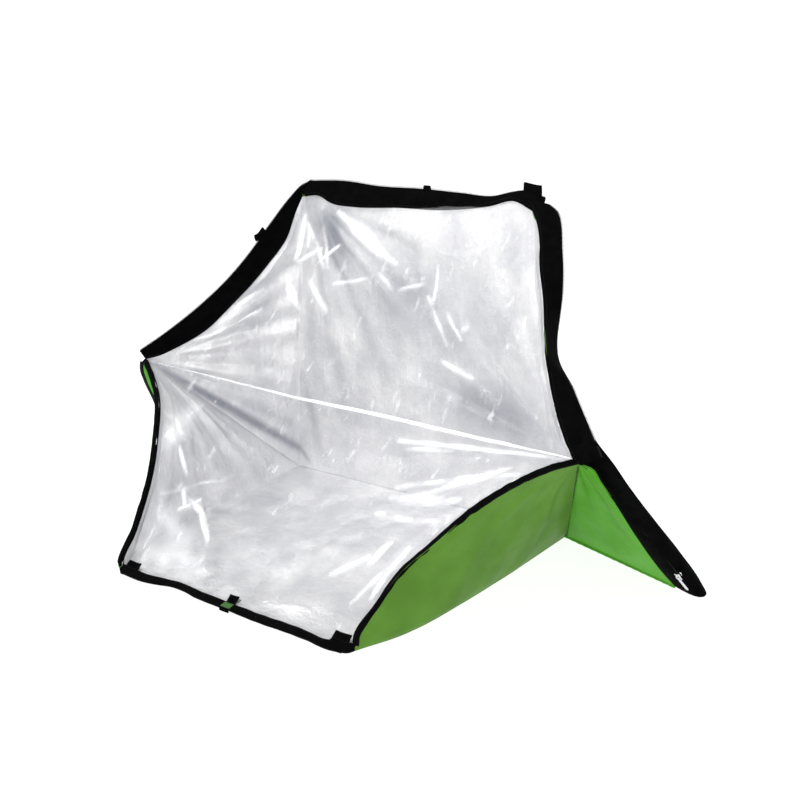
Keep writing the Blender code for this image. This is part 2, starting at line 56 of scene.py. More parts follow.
camera_data = bpy.data.cameras.new("camera")
camera_data.lens, camera_data.sensor_width = 56.0, 36.0
camera = bpy.data.objects.new("camera", camera_data)
camera.matrix_world = look_at((1.037, -1.333, 0.762), (0.042, 0.106, 0.211))
scene.collection.objects.link(camera)
scene.camera = camera


# Studio
# A white ground that is lit from below like a photographer's light table, an even white surround,
# and two broad soft lamps: a strong one nearly overhead, one on the right for the green wall.
def node_material(name, colour, roughness, metal=0.0, sheen=0.0):
    """A material whose plain numbers stand on the shader's own sockets, and its node tree and shader."""
    material = bpy.data.materials.new(name)
    material.use_nodes = True
    shader = material.node_tree.nodes["Principled BSDF"]
    shader.inputs["Base Color"].default_value = (*colour, 1)
    shader.inputs["Roughness"].default_value = roughness
    shader.inputs["Metallic"].default_value = metal
    shader.inputs["Sheen Weight"].default_value = sheen
    return material, material.node_tree, shader


def add_node(tree, kind, **settings):
    """A node with its settings: each is a property of that name, or else a socket's plain number."""
    node = tree.nodes.new(kind)
    for key, value in settings.items():
        if hasattr(node, key):
            setattr(node, key, value)
        else:
            node.inputs[key.replace("_", " ")].default_value = value
    return node


def noise(tree, place, scale, detail=3.0, roughness=0.55):
    node = add_node(tree, "ShaderNodeTexNoise", Scale=scale, Detail=detail, Roughness=roughness)
    tree.links.new(place, node.inputs["Vector"])
    return node.outputs["Fac"]


def ranged(tree, value, low, high, to_low, to_high):
    """The value carried from the span low to high over to the span to_low to to_high."""
    node = add_node(tree, "ShaderNodeMapRange", From_Min=low, From_Max=high, To_Min=to_low, To_Max=to_high)
    tree.links.new(value, node.inputs["Value"])
    return node.outputs["Result"]


ground_half, ground_height = 12.0, -0.0005
ground_mesh = bpy.data.meshes.new("ground")
ground_mesh.from_pydata([(x * ground_half, y * ground_half, ground_height) for x,
    y in ((-1, -1), (1, -1), (1, 1), (-1, 1))], [], [(0, 1, 2, 3)])
ground = bpy.data.objects.new("ground", ground_mesh)
ground_look, _, ground_shader = node_material("ground_matt", (0.35, 0.35, 0.35), 0.95)
ground_shader.inputs["Specular IOR Level"].default_value = 0.1
ground_shader.inputs["Emission Color"].default_value = (1.0, 1.0, 1.0, 1.0)
ground_shader.inputs["Emission Strength"].default_value = 0.88
ground_mesh.materials.append(ground_look)
scene.collection.objects.link(ground)

# The surround is white near the horizon; higher up, soft grey screens stand between bright ones, so
# that the silver lining has something to mirror.
world = bpy.data.worlds.new("surround")
world.use_nodes = True
sky = world.node_tree
sky_place = add_node(sky, "ShaderNodeTexCoord").outputs["Generated"]
sky_height = add_node(sky, "ShaderNodeSeparateXYZ")
sky.links.new(sky_place, sky_height.inputs["Vector"])
sky_mix = add_node(sky, "ShaderNodeMix", A=1.05)
sky.links.new(ranged(sky, sky_height.outputs["Z"], 0.1, 0.35, 0.0, 1.0), sky_mix.inputs["Factor"])
sky.links.new(ranged(sky, noise(sky, sky_place, 1.6, 1.0, 0.5), 0.42, 0.58, 0.3, 1.15), sky_mix.inputs["B"])
sky.nodes["Background"].inputs["Color"].default_value = (1.0, 1.0, 1.0, 1.0)
sky.links.new(sky_mix.outputs["Result"], sky.nodes["Background"].inputs["Strength"])
scene.world = world
scene.view_settings.view_transform = "Standard"
for lamp_name, place, power, size in (("key_lamp", (-0.75, -0.8, 2.3), 44.0, 1.1),
        ("right_lamp", (2.2, -1.3, 1.3), 13.0, 1.4)):
    lamp_data = bpy.data.lights.new(lamp_name, "AREA")
    lamp_data.energy, lamp_data.size = power, size
    lamp = bpy.data.objects.new(lamp_name, lamp_data)
    lamp.matrix_world = look_at(place, (0, 0, 0.2))
    scene.collection.objects.link(lamp)


# Floor
# The lower half of the padded sheet: green woven cover, 3.5 mm foam and silver lining, sewn round
# its edges. It lies flat on the ground; the lining is a loose skin on the foam and wrinkles.
stack = 0.0059
lining_thickness = 0.0008
front_left, front_right = (-0.204, -0.231, stack), (0.204, -0.231, stack)
fold_left, fold_right = (-0.2575, 0.231, stack), (0.2575, 0.231, stack)
left_peak, right_peak = (-0.384, 0.009, 0.228), (0.372, 0.027, 0.212)
floor_left_line = [front_left, (-0.226, -0.168, stack), (-0.243, -0.049, stack), (-0.25, 0.06, stack), fold_left]
floor_right_line = [front_right, (0.229, -0.168, stack), (0.246, -0.049, stack), (0.252, 0.048, stack), fold_right]
floor_front_line = [front_left, (-0.15, -0.236, stack), (-0.1, -0.229, stack), (-0.05, -0.233, stack),
    (0.005, -0.236, stack), (0.06, -0.238, stack), (0.12, -0.238, stack), (0.165, -0.242, stack), front_right]


def run_length(line):
    """The length along a line of points, from its start to each of them."""
    return np.concatenate([[0.0], np.cumsum(np.linalg.norm(np.diff(line, axis=0), axis=1))])


def read_at(places, known, rows):
    """The rows, known at certain places, read at other places by straight interpolation."""
    return np.stack([np.interp(places, known, rows[:, i]) for i in range(3)], axis=1)


def smooth_line(points, count):
    """A smooth line through the points: a cubic between neighbours, whose slope at each point is the
    mean of the two chords there, weighted by the other's length. It is read at even lengths."""
    points = np.array(points, float)
    step = np.linalg.norm(np.diff(points, axis=0), axis=1)
    place = run_length(points)
    chord = np.diff(points, axis=0) / step[:, None]
    inner = (chord[:-1] * step[1:, None] + chord[1:] * step[:-1, None]) / (step[:-1] + step[1:])[:, None]
    slope = np.vstack([chord[:1], inner, chord[-1:]])
    t = np.linspace(0, place[-1], count * 6)
    k = np.clip(np.searchsorted(place, t, side="right") - 1, 0, len(step) - 1)
    s, h = ((t - place[k]) / step[k])[:, None], step[k][:, None]
    line = (points[k] * (1 + 2 * s) * (1 - s) ** 2 + slope[k] * h * s * (1 - s) ** 2
        + points[k + 1] * s * s * (3 - 2 * s) + slope[k + 1] * h * s * s * (s - 1))
    length = run_length(line)
    return read_at(np.linspace(0, length[-1], count), length, line)


def four_sided(front, back, left, right):
    """P(u, v) = (1 − v) front(u) + v back(u) + (1 − u) left(v) + u right(v), less the bilinear blend of
    the four corners. u runs along the columns and v along the rows."""
    u = np.linspace(0, 1, len(front))[None, :, None]
    v = np.linspace(0, 1, len(left))[:, None, None]
    corners = ((1 - u) * (1 - v) * front[0] + u * (1 - v) * front[-1] + (1 - u) * v * back[0] + u * v * back[-1])
    return (1 - v) * front[None] + v * back[None] + (1 - u) * left[:, None] + u * right[:, None] - corners


def unit(vectors):
    return vectors / np.maximum(np.linalg.norm(vectors, axis=-1, keepdims=True), 1e-9)


def hump(count, margin=0.0):
    """sin(πt) at even places t from 0 to 1, each held a margin away from both ends."""
    return np.sin(math.pi * np.clip(np.linspace(0, 1, count), margin, 1 - margin))


def eased(share):
    """3s² − 2s³ of a share s, held between 0 and 1."""
    share = np.clip(share, 0, 1)
    return share * share * (3 - 2 * share)


def face_normals(grid, outward):
    """The cross product of the grid's two directions, on the side that outward points to."""
    normal = unit(np.cross(np.gradient(grid, axis=1), np.gradient(grid, axis=0)))
    return normal * np.sign((normal.mean(axis=(0, 1)) * np.array(outward)).sum())


def ripple(points, seed, size, depth):
    """The sum of 18 plane waves of random direction and start, each about size long and together about
    depth high."""
    rng = np.random.default_rng(seed)
    waves = unit(rng.normal(size=(18, 3))) * (2 * math.pi / size) * rng.uniform(0.6, 1.6, (18, 1))
    starts = rng.uniform(0, 2 * math.pi, 18)
    return depth * np.sin(points @ waves.T + starts).sum(axis=-1) / math.sqrt(18)


def fan(points, centre, toward, folds, reach, depth, seed):
    """Folds that spread from a centre: depth · (sin(folds · angle + start) + 0.6 sin(1.7 folds · angle +
    start)), rising over the first third of reach and dying away with e^(−(distance / reach)²)."""
    rng = np.random.default_rng(seed)
    arm = points - np.array(centre)
    axis = unit(np.array(toward) - np.array(centre))
    distance = np.linalg.norm(arm, axis=-1)
    angle = np.arccos(np.clip((arm @ axis) / np.maximum(distance, 1e-6), -1, 1))
    wave = np.sin(folds * angle + rng.uniform(0, 6)) + 0.6 * np.sin(1.7 * folds * angle + rng.uniform(0, 6))
    return depth * wave * np.clip(distance / (0.3 * reach), 0, 1) * np.exp(-(distance / reach) ** 2)


def flat_cloth(grid):
    """Each point's place on the flat fabric: its coordinates along the grid's own two main directions."""
    middle = grid.reshape(-1, 3).mean(axis=0)
    axes = np.linalg.svd(grid.reshape(-1, 3)[::7] - middle, full_matrices=False)[2]
    return (grid - middle) @ axes[:2].T


def add_piece(name, points, faces, look, cloth=None, sharp=50):
    """A mesh from points and faces with smooth shading, and its cloth coordinates in metres."""
    mesh = bpy.data.meshes.new(name)
    mesh.from_pydata(points.tolist(), [], faces)
    mesh.polygons.foreach_set("use_smooth", np.ones(len(mesh.polygons), bool))
    mesh.set_sharp_from_angle(angle=math.radians(sharp))
    if cloth is not None:
        corner = np.empty(len(mesh.loops), int)
        mesh.loops.foreach_get("vertex_index", corner)
        mesh.uv_layers.new(name="cloth").data.foreach_set("uv", cloth[corner].ravel())
    mesh.materials.append(look)
    piece = bpy.data.objects.new(name, mesh)
    scene.collection.objects.link(piece)
    return piece


def closed_sheet(name, inner, outer, look):
    """A closed piece from two grids: both faces, and a rim of quads between their borders."""
    rows, columns = inner.shape[:2]
    place = np.arange(rows * columns).reshape(rows, columns)
    cells = np.stack([place[:-1, :-1], place[:-1, 1:], place[1:, 1:], place[1:, :-1]], axis=-1).reshape(-1, 4)
    border = np.concatenate([place[0, :-1], place[:-1, -1], place[-1, :0:-1], place[:0:-1, 0]])
    ahead = np.roll(border, -1)
    count = rows * columns
    rim = np.stack([ahead, border, border + count, ahead + count], axis=-1)
    faces = np.concatenate([cells, cells[:, ::-1] + count, rim])
    normal = np.cross(np.gradient(inner, axis=1), np.gradient(inner, axis=0))
    if (normal * (inner - outer)).sum() < 0:
        faces = faces[:, ::-1]
    points = np.concatenate([inner.reshape(-1, 3), outer.reshape(-1, 3)])
    cloth = np.tile(flat_cloth(inner).reshape(-1, 2), (2, 1))
    return add_piece(name, points, faces.tolist(), look, cloth)


def cloth_place(tree):
    return add_node(tree, "ShaderNodeUVMap", uv_map="cloth").outputs["UV"]


def object_place(tree):
    return add_node(tree, "ShaderNodeTexCoord").outputs["Object"]


def woven(tree, place, thread):
    """Plain weave: the larger of two sine ridges, one for each thread direction, thread metres wide.
    At scale 1 the bands stand 2π / 20 = 0.314 apart."""
    larger = add_node(tree, "ShaderNodeMath", operation="MAXIMUM")
    for socket, direction in zip(larger.inputs, ("X", "Y")):
        wave = add_node(tree, "ShaderNodeTexWave", wave_type="BANDS", bands_direction=direction,
            Scale=0.314 / thread, Distortion=0.4, Detail=1.0)
        tree.links.new(place, wave.inputs["Vector"])
        tree.links.new(wave.outputs["Fac"], socket)
    return larger.outputs[0]


def graded(tree, value, low, high, low_colour, high_colour):
    """A colour ramp from low_colour where value is low, to high_colour where it is high."""
    ramp = tree.nodes.new("ShaderNodeValToRGB")
    for element, position, colour in zip(ramp.color_ramp.elements, (low, high), (low_colour, high_colour)):
        element.position, element.color = position, (*colour, 1)
    tree.links.new(value, ramp.inputs["Fac"])
    return ramp.outputs["Color"]


def mottled(name, colour, roughness, scale, low, high, low_colour, high_colour, **more):
    """A material whose colour is graded by a noise of that scale, its tree, its shader and its place."""
    look, tree, shader = node_material(name, colour, roughness, **more)
    place = object_place(tree)
    tree.links.new(graded(tree, noise(tree, place, scale), low, high, low_colour, high_colour),
        shader.inputs["Base Color"])
    return look, tree, shader, place


def bumps(tree, shader, *layers):
    """Bump nodes in a row: each layer is a height, its strength and its depth in metres."""
    before = None
    for height, strength, depth in layers:
        bump = add_node(tree, "ShaderNodeBump", Strength=strength, Distance=depth)
        tree.links.new(height, bump.inputs["Height"])
        if before:
            tree.links.new(before, bump.inputs["Normal"])
        before = bump.outputs["Normal"]
    tree.links.new(before, shader.inputs["Normal"])


def green_cover_look(name, dark, light):
    """Woven polyester: threads 0.5 mm apart, soft dents and a slightly uneven dye."""
    look, tree, shader, body = mottled(name, light, 0.62, 14.0, 0.32, 0.7, dark, light)
    shader.inputs["Specular IOR Level"].default_value = 0.08
    tree.links.new(ranged(tree, noise(tree, body, 40.0), 0.3, 0.7, 0.44, 0.6), shader.inputs["Roughness"])
    bumps(tree, shader, (noise(tree, body, 60.0, 2.0), 0.35, 0.0012),
        (woven(tree, cloth_place(tree), 0.0005), 0.3, 0.00012))
    return look


def lining_look(name, low, high, gloss):
    """Silver film on foam: bright metal, crinkled and streaked all over, with a fine pressed grid. Its colour holds
    painted reflections: grey and white patches at random, times the painted shade and painted highlights kept in
    the shade attribute.
    """
    look, tree, shader = node_material(name, high, gloss, metal=0.72)
    place, body = cloth_place(tree), object_place(tree)
    # Painted reflections: grey and white patches at random, standing in for the greyer and whiter parts of the room
    # that the lining mirrors.
    painted_reflection_patches = graded(tree, noise(tree, body, 13.0, 9.0, 0.72), 0.34, 0.64, low, high)
    shade = add_node(tree, "ShaderNodeAttribute", attribute_name="shade")
    # The painted shade and painted highlights kept on the surface multiply this colour.
    painted_shade = add_node(tree, "ShaderNodeMix", data_type="RGBA", blend_type="MULTIPLY")
    painted_shade.inputs[0].default_value = 1.0
    tree.links.new(painted_reflection_patches, painted_shade.inputs[6])
    tree.links.new(shade.outputs["Color"], painted_shade.inputs[7])
    tree.links.new(painted_shade.outputs[2], shader.inputs["Base Color"])
    tree.links.new(ranged(tree, noise(tree, body, 30.0), 0.3, 0.7, gloss - 0.07, gloss + 0.1),
        shader.inputs["Roughness"])
    cells = add_node(tree, "ShaderNodeTexVoronoi", feature="DISTANCE_TO_EDGE", Scale=95.0)
    tree.links.new(body, cells.inputs["Vector"])
    upright = add_node(tree, "ShaderNodeMapping", Scale=(1.0, 1.0, 0.16))
    tree.links.new(body, upright.inputs["Vector"])
    bumps(tree, shader, (noise(tree, body, 24.0, 4.0, 0.6), 0.6, 0.0022),
        (noise(tree, body, 70.0, 5.0, 0.7), 0.65, 0.002),
        (noise(tree, upright.outputs["Vector"], 120.0, 4.0, 0.65), 0.7, 0.0022),
        (cells.outputs["Distance"], 0.3, 0.0009), (noise(tree, body, 330.0, 2.0), 0.6, 0.0005),
        (woven(tree, place, 0.0014), 0.2, 0.00015))
    return look


cover_look = green_cover_look("cover_green", (0.078, 0.19, 0.022), (0.104, 0.245, 0.031))
silver_look = lining_look("lining_silver", (0.67, 0.67, 0.7), (0.93, 0.925, 0.92), 0.4)


def crease_field(points, creases):
    """The largest, over the creases, of strength · e^(−(distance to the crease / width)²), each a
    straight line between two points, faded out at both ends."""
    total = np.zeros(points.shape[:-1])
    for start, end, width, strength in creases:
        start, end = np.array(start), np.array(end)
        run = end - start
        share = np.clip(((points - start) @ run) / (run @ run), 0, 1)
        distance = np.linalg.norm(points - start - share[..., None] * run, axis=-1)
        total = np.maximum(total,
            strength * np.exp(-(distance / width) ** 2) * np.sin(math.pi * np.clip(share, 0.03, 0.97)) ** 0.4)
    return total


def fasten(body, slot_name, *pieces):
    """Each piece rides on its body. The slot name is not used."""
    for piece in pieces:
        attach(piece, body)


def padded_panel(name, grid, outward, hem, wrinkles, dents, body, gores=(), painted_shade=(), painted_highlights=(), pressed=0.0,
        slack=1.0):
    """The lining is the grid plus its wrinkles times the slack along the inner normal. The pad's outer
    face is the grid less the stack and the dents; over its first 0.16 of rows it turns to the hem
    direction, where panels meet, and over its last 0.07 it is thinned by the share pressed."""
    normal = face_normals(grid, outward)
    rows, columns = grid.shape[:2]
    down = normal
    if hem is not None:
        turn = eased(np.linspace(0, 1, rows) / 0.16)[:, None, None]
        down = unit(normal * turn + np.array(hem) * (1 - turn))
    soft = np.clip(hump(rows, 0.02)[:, None] * hump(columns, 0.02)[None, :] * 4, 0, 1)[..., None]
    loose = grid - normal * ((wrinkles - wrinkles.min()) * slack)[..., None] * soft
    silver = closed_sheet(name + "_silver", loose, loose + normal * lining_thickness, silver_look)
    # The lining's colour is painted with light: painted shade in the wrinkles' valleys and along the listed dark
    # lines, painted highlights along the listed bright ones, and a bluish cast where it is darker. It is kept in
    # the shade attribute.
    painted_valley_shade = np.clip(0.5 - (wrinkles - wrinkles.mean()) / (6 * wrinkles.std() + 1e-9), 0, 1)
    painted_light_tone = np.clip(0.97 - 0.12 * painted_valley_shade - crease_field(grid, painted_shade) + crease_field(grid, painted_highlights), 0.25, 1.05)
    painted_light_mark = silver.data.attributes.new("shade", "FLOAT_COLOR", "POINT")
    painted_light_tint = np.stack([painted_light_tone, 1 - 0.98 * (1 - painted_light_tone), 1 - 0.91 * (1 - painted_light_tone), np.ones_like(painted_light_tone)], axis=-1)
    painted_light_mark.data.foreach_set("color", np.tile(painted_light_tint.reshape(-1, 4), (2, 1)).ravel())
    depth = stack * (1 - pressed * eased((np.linspace(0, 1, rows) - 0.93) / 0.07)[:, None, None])
    pad = closed_sheet(name + "_pad", grid + normal * (lining_thickness + 0.0002),
        grid + down * depth + normal * (dents[..., None] * soft), cover_look)
    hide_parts(name + "_cover", name + "_foam", *gores)
    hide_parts(name + "_lining")
    fasten(body, "cover", pad)
    fasten(body, "lining", silver)
    return pad, silver


def fold_slack(share):
    """A lining's slack at a share of the way from the fold: 0.12 there, 1 from 0.55 of the way on."""
    return 0.12 + 0.88 * np.clip(share / 0.55, 0, 1)[:, None]


floor_rows, floor_columns = 140, 150
floor_grid = four_sided(smooth_line(floor_front_line, floor_columns),
    smooth_line([fold_left, fold_right], floor_columns), smooth_line(floor_left_line, floor_rows),
    smooth_line(floor_right_line, floor_rows))
floor_wrinkles = (ripple(floor_grid, 3, 0.05, 0.001) + ripple(floor_grid, 4, 0.11, 0.0012)
    + fan(floor_grid, right_peak, (0.0, -0.05, 0.0), 26, 0.42, 0.0012, 5))
# The painted shade and painted highlights of a lining are painted reflections of a greyer or a whiter
# part of the room: each is given by its two ends, its half width and its strength.
floor_painted_shade = [((-0.245, -0.015, stack), (-0.18, 0.012, stack), 0.014, 0.2),
    ((-0.12, 0.05, stack), (0.06, 0.1, stack), 0.05, 0.1)]
floor_painted_highlights = [((-0.2, -0.19, stack), (0.12, -0.15, stack), 0.075, 0.05)]
floor_slack = fold_slack(np.linspace(1, 0, floor_rows)) * np.clip(np.linspace(0, 10, floor_rows), 0, 1)[:, None]
padded_panel("floor", floor_grid, (0, 0, -1), None, floor_wrinkles, np.zeros((floor_rows, floor_columns)),
    "base", painted_shade=floor_painted_shade, painted_highlights=floor_painted_highlights, slack=floor_slack)

# Back
# The upper half of the same padded sheet, standing behind the fold. Its lining is pulled towards
# both peaks and hangs a little slack from the zip band along its top edge.
back_left_line = [(-0.257, 0.231, 0.0064), (-0.255, 0.236, 0.15), (-0.25, 0.241, 0.3), (-0.246, 0.246, 0.42),
    (-0.242, 0.2475, 0.478)]
back_right_line = [(0.257, 0.231, 0.0064), (0.233, 0.236, 0.15), (0.21, 0.241, 0.3), (0.191, 0.246, 0.42),
    (0.18, 0.2475, 0.496)]
back_top_line = [back_left_line[-1], (-0.212, 0.2475, 0.478), (-0.186, 0.2475, 0.47), (-0.14, 0.2475, 0.468),
    (-0.055, 0.2475, 0.474), (0.027, 0.2475, 0.478), (0.102, 0.2475, 0.488), (0.15, 0.2475, 0.497),
    back_right_line[-1]]
back_rows, back_columns, back_belly = 150, 160, 0.006
back_grid = four_sided(smooth_line([back_left_line[0], back_right_line[0]], back_columns),
    smooth_line(back_top_line, back_columns), smooth_line(back_left_line, back_rows),
    smooth_line(back_right_line, back_rows))
back_grid[..., 1] += back_belly * (hump(back_rows)[:, None] * hump(back_columns)[None, :])
back_wrinkles = (ripple(back_grid, 11, 0.06, 0.001) + ripple(back_grid, 12, 0.16, 0.0016)
    + fan(back_grid, left_peak, (0.0, 0.24, 0.25), 30, 0.34, 0.0028, 13) + fan(back_grid, (-0.241, 0.2475, 0.48),
    (0.0, 0.24, 0.2), 24, 0.3, 0.0016, 14) + fan(back_grid, (0.181, 0.2475, 0.496), (0.0, 0.24, 0.2), 20, 0.26,
    0.0012, 15))
# Painted shade and painted highlights on the back's lining.
back_painted_shade = [((-0.208, 0.247, 0.46), (-0.16, 0.246, 0.36), 0.03, 0.62),
    ((0.052, 0.238, 0.19), (0.198, 0.236, 0.15), 0.042, 0.52),
    ((-0.15, 0.241, 0.34), (0.16, 0.24, 0.27), 0.09, 0.27),
    ((-0.246, 0.237, 0.166), (-0.209, 0.232, 0.039), 0.01, 0.25),
    ((-0.262, 0.228, 0.046), (-0.228, 0.238, 0.012), 0.005, 0.45),
    ((-0.18, 0.24, 0.26), (-0.158, 0.233, 0.067), 0.014, 0.1),
    ((-0.232, 0.24, 0.33), (-0.225, 0.237, 0.17), 0.012, 0.12)]
back_painted_highlights = [((-0.02, 0.247, 0.455), (0.15, 0.247, 0.47), 0.036, 0.22),
    ((0.17, 0.24, 0.43), (0.215, 0.236, 0.2), 0.022, 0.12)]
padded_panel("back", back_grid, (0, 1, 0), None, back_wrinkles, ripple(back_grid, 16, 0.14, 0.0012),
    "back", (), back_painted_shade, back_painted_highlights, 0.75, fold_slack(np.linspace(0, 1, back_rows)))

# Base walls
# The sides of the lower half, creased up from the floor. Each runs from nothing at the front corner
# to its full height at the peak, and bellies out a little between the ground and its bound edge.
right_wall_top_line = [(0.2045, -0.2305, 0.0165), (0.211, -0.194, 0.05), (0.227, -0.161, 0.09),
    (0.248, -0.126, 0.118), (0.28, -0.083, 0.158), (0.323, -0.034, 0.193), (0.35, -0.003, 0.207), right_peak]
left_wall_top_line = [(-0.2045, -0.2305, 0.0165), (-0.212, -0.197, 0.045), (-0.221, -0.165, 0.081),
    (-0.236, -0.132, 0.116), (-0.266, -0.089, 0.158), (-0.299, -0.051, 0.191), (-0.345, -0.016, 0.214), left_peak]
foot_lines = {"right": floor_right_line, "left": floor_left_line}
wall_top_lines = {"right": right_wall_top_line, "left": left_wall_top_line}
fold_corners = {"right": fold_right, "left": fold_left}
peaks = {"right": right_peak, "left": left_peak}
sides = {"right": 1, "left": -1}


def lie_flat(piece):
    """The piece gets a mesh of its own."""
    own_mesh(piece)


def rising_wall(foot, top, belly, rows=64):
    """P(u, v) = foot(u) + v (top(u) − foot(u)) + belly · sin(πu) · sin(πv) along the wall's mean normal."""
    v = np.linspace(0, 1, rows)[:, None, None]
    grid = foot[None] + v * (top - foot)[None]
    normal = unit(np.cross(np.gradient(grid, axis=1), np.gradient(grid, axis=0)).mean(axis=(0, 1)))
    away = normal * np.sign((normal[:2] * grid.mean(axis=(0, 1))[:2]).sum())
    swell = hump(len(foot))[None, :] * hump(rows)[:, None]
    return grid + away * belly * swell[..., None], away


wall_columns, back_wall_columns, wall_belly = 150, 140, 0.012
# Painted shade and painted highlights on the base walls' linings.
wall_painted_shade = {"right": [((0.255, 0.2, 0.012), (0.345, 0.04, 0.17), 0.012, 0.14)],
    "left": [((-0.296, -0.056, 0.111), (-0.247, 0.167, 0.01), 0.028, 0.17),
    ((-0.262, -0.1, 0.095), (-0.236, -0.03, 0.02), 0.03, 0.13),
    ((-0.39, -0.005, 0.232), (-0.262, 0.222, 0.018), 0.0055, 0.42)]}
wall_painted_highlights = {"right": [], "left": [((-0.365, 0.01, 0.195), (-0.29, 0.17, 0.07), 0.02, 0.18)]}
for side_name, side in sides.items():
    name, peak, inside = f"{side_name}_base_wall", peaks[side_name], (0.22 * side, 0.0, 0.0)
    grid, away = rising_wall(smooth_line(foot_lines[side_name], wall_columns),
        smooth_line(wall_top_lines[side_name], wall_columns), wall_belly)
    wrinkles = ripple(grid, 21 + side, 0.05, 0.001) + fan(grid, peak, inside, 22, 0.3, 0.0026, 24 + side)
    dents = ripple(grid, 31 + side, 0.1, 0.0016) + fan(grid, peak, inside, 16, 0.2, 0.0016, 34 + side)
    for piece in padded_panel(name, grid, tuple(away), (0, 0, -1), wrinkles, dents, name,
            [f"{side_name}_base_gore"], wall_painted_shade[side_name], wall_painted_highlights[side_name]):
        lie_flat(piece)

# Back walls
# The sides of the upper half: triangles between the back's crease, the seam to the base wall and
# the zip band. Stiff foam again, with the lining puckered towards the peak.
right_band_inner = [(0.186, 0.244, 0.48), (0.217, 0.196, 0.443), (0.224, 0.183, 0.428), (0.251, 0.148, 0.382),
    (0.2845, 0.097, 0.32), (0.312, 0.066, 0.278), (0.338, 0.043, 0.243), (0.359, 0.03, 0.219), right_peak]
left_band_inner = [(-0.247, 0.241, 0.47), (-0.252, 0.23, 0.441), (-0.259, 0.218, 0.406), (-0.279, 0.186, 0.36),
    (-0.308, 0.138, 0.305), (-0.335, 0.091, 0.262), (-0.357, 0.055, 0.242), (-0.373, 0.027, 0.231), left_peak]
band_inner = {"right": right_band_inner, "left": left_band_inner}
# Painted shade and painted highlights on the back walls' linings.
back_wall_painted_shade = {"right": [((0.262, 0.215, 0.03), (0.345, 0.055, 0.185), 0.012, 0.12)],
    "left": [((-0.39, -0.002, 0.236), (-0.24, 0.262, 0.013), 0.0085, 0.74),
    ((-0.378, 0.02, 0.222), (-0.299, 0.158, 0.145), 0.006, 0.26),
    ((-0.335, 0.095, 0.17), (-0.255, 0.234, 0.075), 0.011, 0.26),
    ((-0.297, 0.159, 0.206), (-0.262, 0.215, 0.12), 0.01, 0.17),
    ((-0.3, 0.15, 0.27), (-0.268, 0.206, 0.3), 0.016, 0.1)]}
back_wall_belly = {"right": -0.003, "left": 0.01}
back_wall_painted_highlights = {"right": [], "left": [((-0.3, 0.15, 0.225), (-0.262, 0.215, 0.25), 0.014, 0.14),
    ((-0.275, 0.19, 0.33), (-0.258, 0.222, 0.25), 0.012, 0.12)]}
back_creases = {"right": back_right_line, "left": back_left_line}
for side_name, side in sides.items():
    name, peak = f"{side_name}_back_wall", peaks[side_name]
    crease_line = smooth_line(back_creases[side_name][::-1], back_wall_columns)
    crease_line[0] += np.array((0.0, -0.001, -0.008))
    grid, away = rising_wall(crease_line, smooth_line(band_inner[side_name], back_wall_columns),
        back_wall_belly[side_name])
    wrinkles = (ripple(grid, 41 + side, 0.05, 0.001) + fan(grid, peak, (0.25 * side, 0.24, 0.2), 24, 0.3, 0.0028,
        44 + side))
    for piece in padded_panel(name, grid, tuple(away), (0, 1, 0), wrinkles, ripple(grid, 51 + side, 0.1, 0.0014),
            name, [f"{side_name}_back_gore"], back_wall_painted_shade[side_name], back_wall_painted_highlights[side_name],
            0.75):
        lie_flat(piece)

# Ears
# The spare corner of the sheet between a base wall and a back wall, pinched flat: green cover on
# both faces over pressed padding. A narrow rolled seam joins it to the walls and hems it below.
tip_right, peak_fold_right = np.array((0.495, 0.152, 0.0033)), np.array((0.376, 0.031, 0.2141))
right_ear_inner = [(0.368, 0.027, 0.207), (0.379, 0.029, 0.2035), (0.391, 0.032, 0.2), (0.4, 0.041, 0.181),
    (0.414, 0.072, 0.137), (0.426, 0.103, 0.092), (0.449, 0.141, 0.033), (0.463, 0.162, 0.004)]
left_ear_inner = [(-0.387, 0.008, 0.224), (-0.394, 0.013, 0.212), (-0.406, 0.03, 0.185), (-0.417, 0.062, 0.132),
    (-0.432, 0.084, 0.091), (-0.446, 0.108, 0.045), (-0.455, 0.128, 0.005)]
ear_inner = {"right": right_ear_inner, "left": left_ear_inner}
ear_look = green_cover_look("ear_green", (0.088, 0.33, 0.022), (0.108, 0.405, 0.03))
# The seam roll's darker green is painted shade: the shade that falls in the seam between the ear and the walls.
seam_shade_look = green_cover_look("seam_green_painted_shade", (0.018, 0.06, 0.008), (0.036, 0.11, 0.014))


def circle(count):
    return np.linspace(0, 2 * math.pi, count, endpoint=False)


def squared(wave, power):
    """sign(wave) · |wave|^power, which makes a circle's sine and cosine a rounded oblong's."""
    return np.sign(wave) * np.abs(wave) ** power


def tube(name, rings, look):
    """A skin over rings of points, with each end closed by one face."""
    steps, around = rings.shape[:2]
    place = np.arange(steps * around).reshape(steps, around)
    side_faces = np.stack([place[:-1], np.roll(place[:-1], -1, axis=1), np.roll(place[1:], -1, axis=1), place[1:]],
        axis=-1)
    faces = side_faces.reshape(-1, 4).tolist() + [place[0][::-1].tolist(), place[-1].tolist()]
    centre = rings.mean(axis=1, keepdims=True)
    skin = np.cross(np.roll(rings, -1, axis=1)[:-1] - rings[:-1], rings[1:] - rings[:-1])
    if (skin * (rings - centre)[:-1]).sum() < 0:
        faces = [face[::-1] for face in faces]
    along, girth = run_length(centre[:, 0]), run_length(rings[steps // 2])
    cloth = np.stack(np.broadcast_arrays(along[:, None], girth[None, :]), axis=-1).reshape(-1, 2)
    return add_piece(name, rings.reshape(-1, 3), faces, look, cloth, sharp=70)


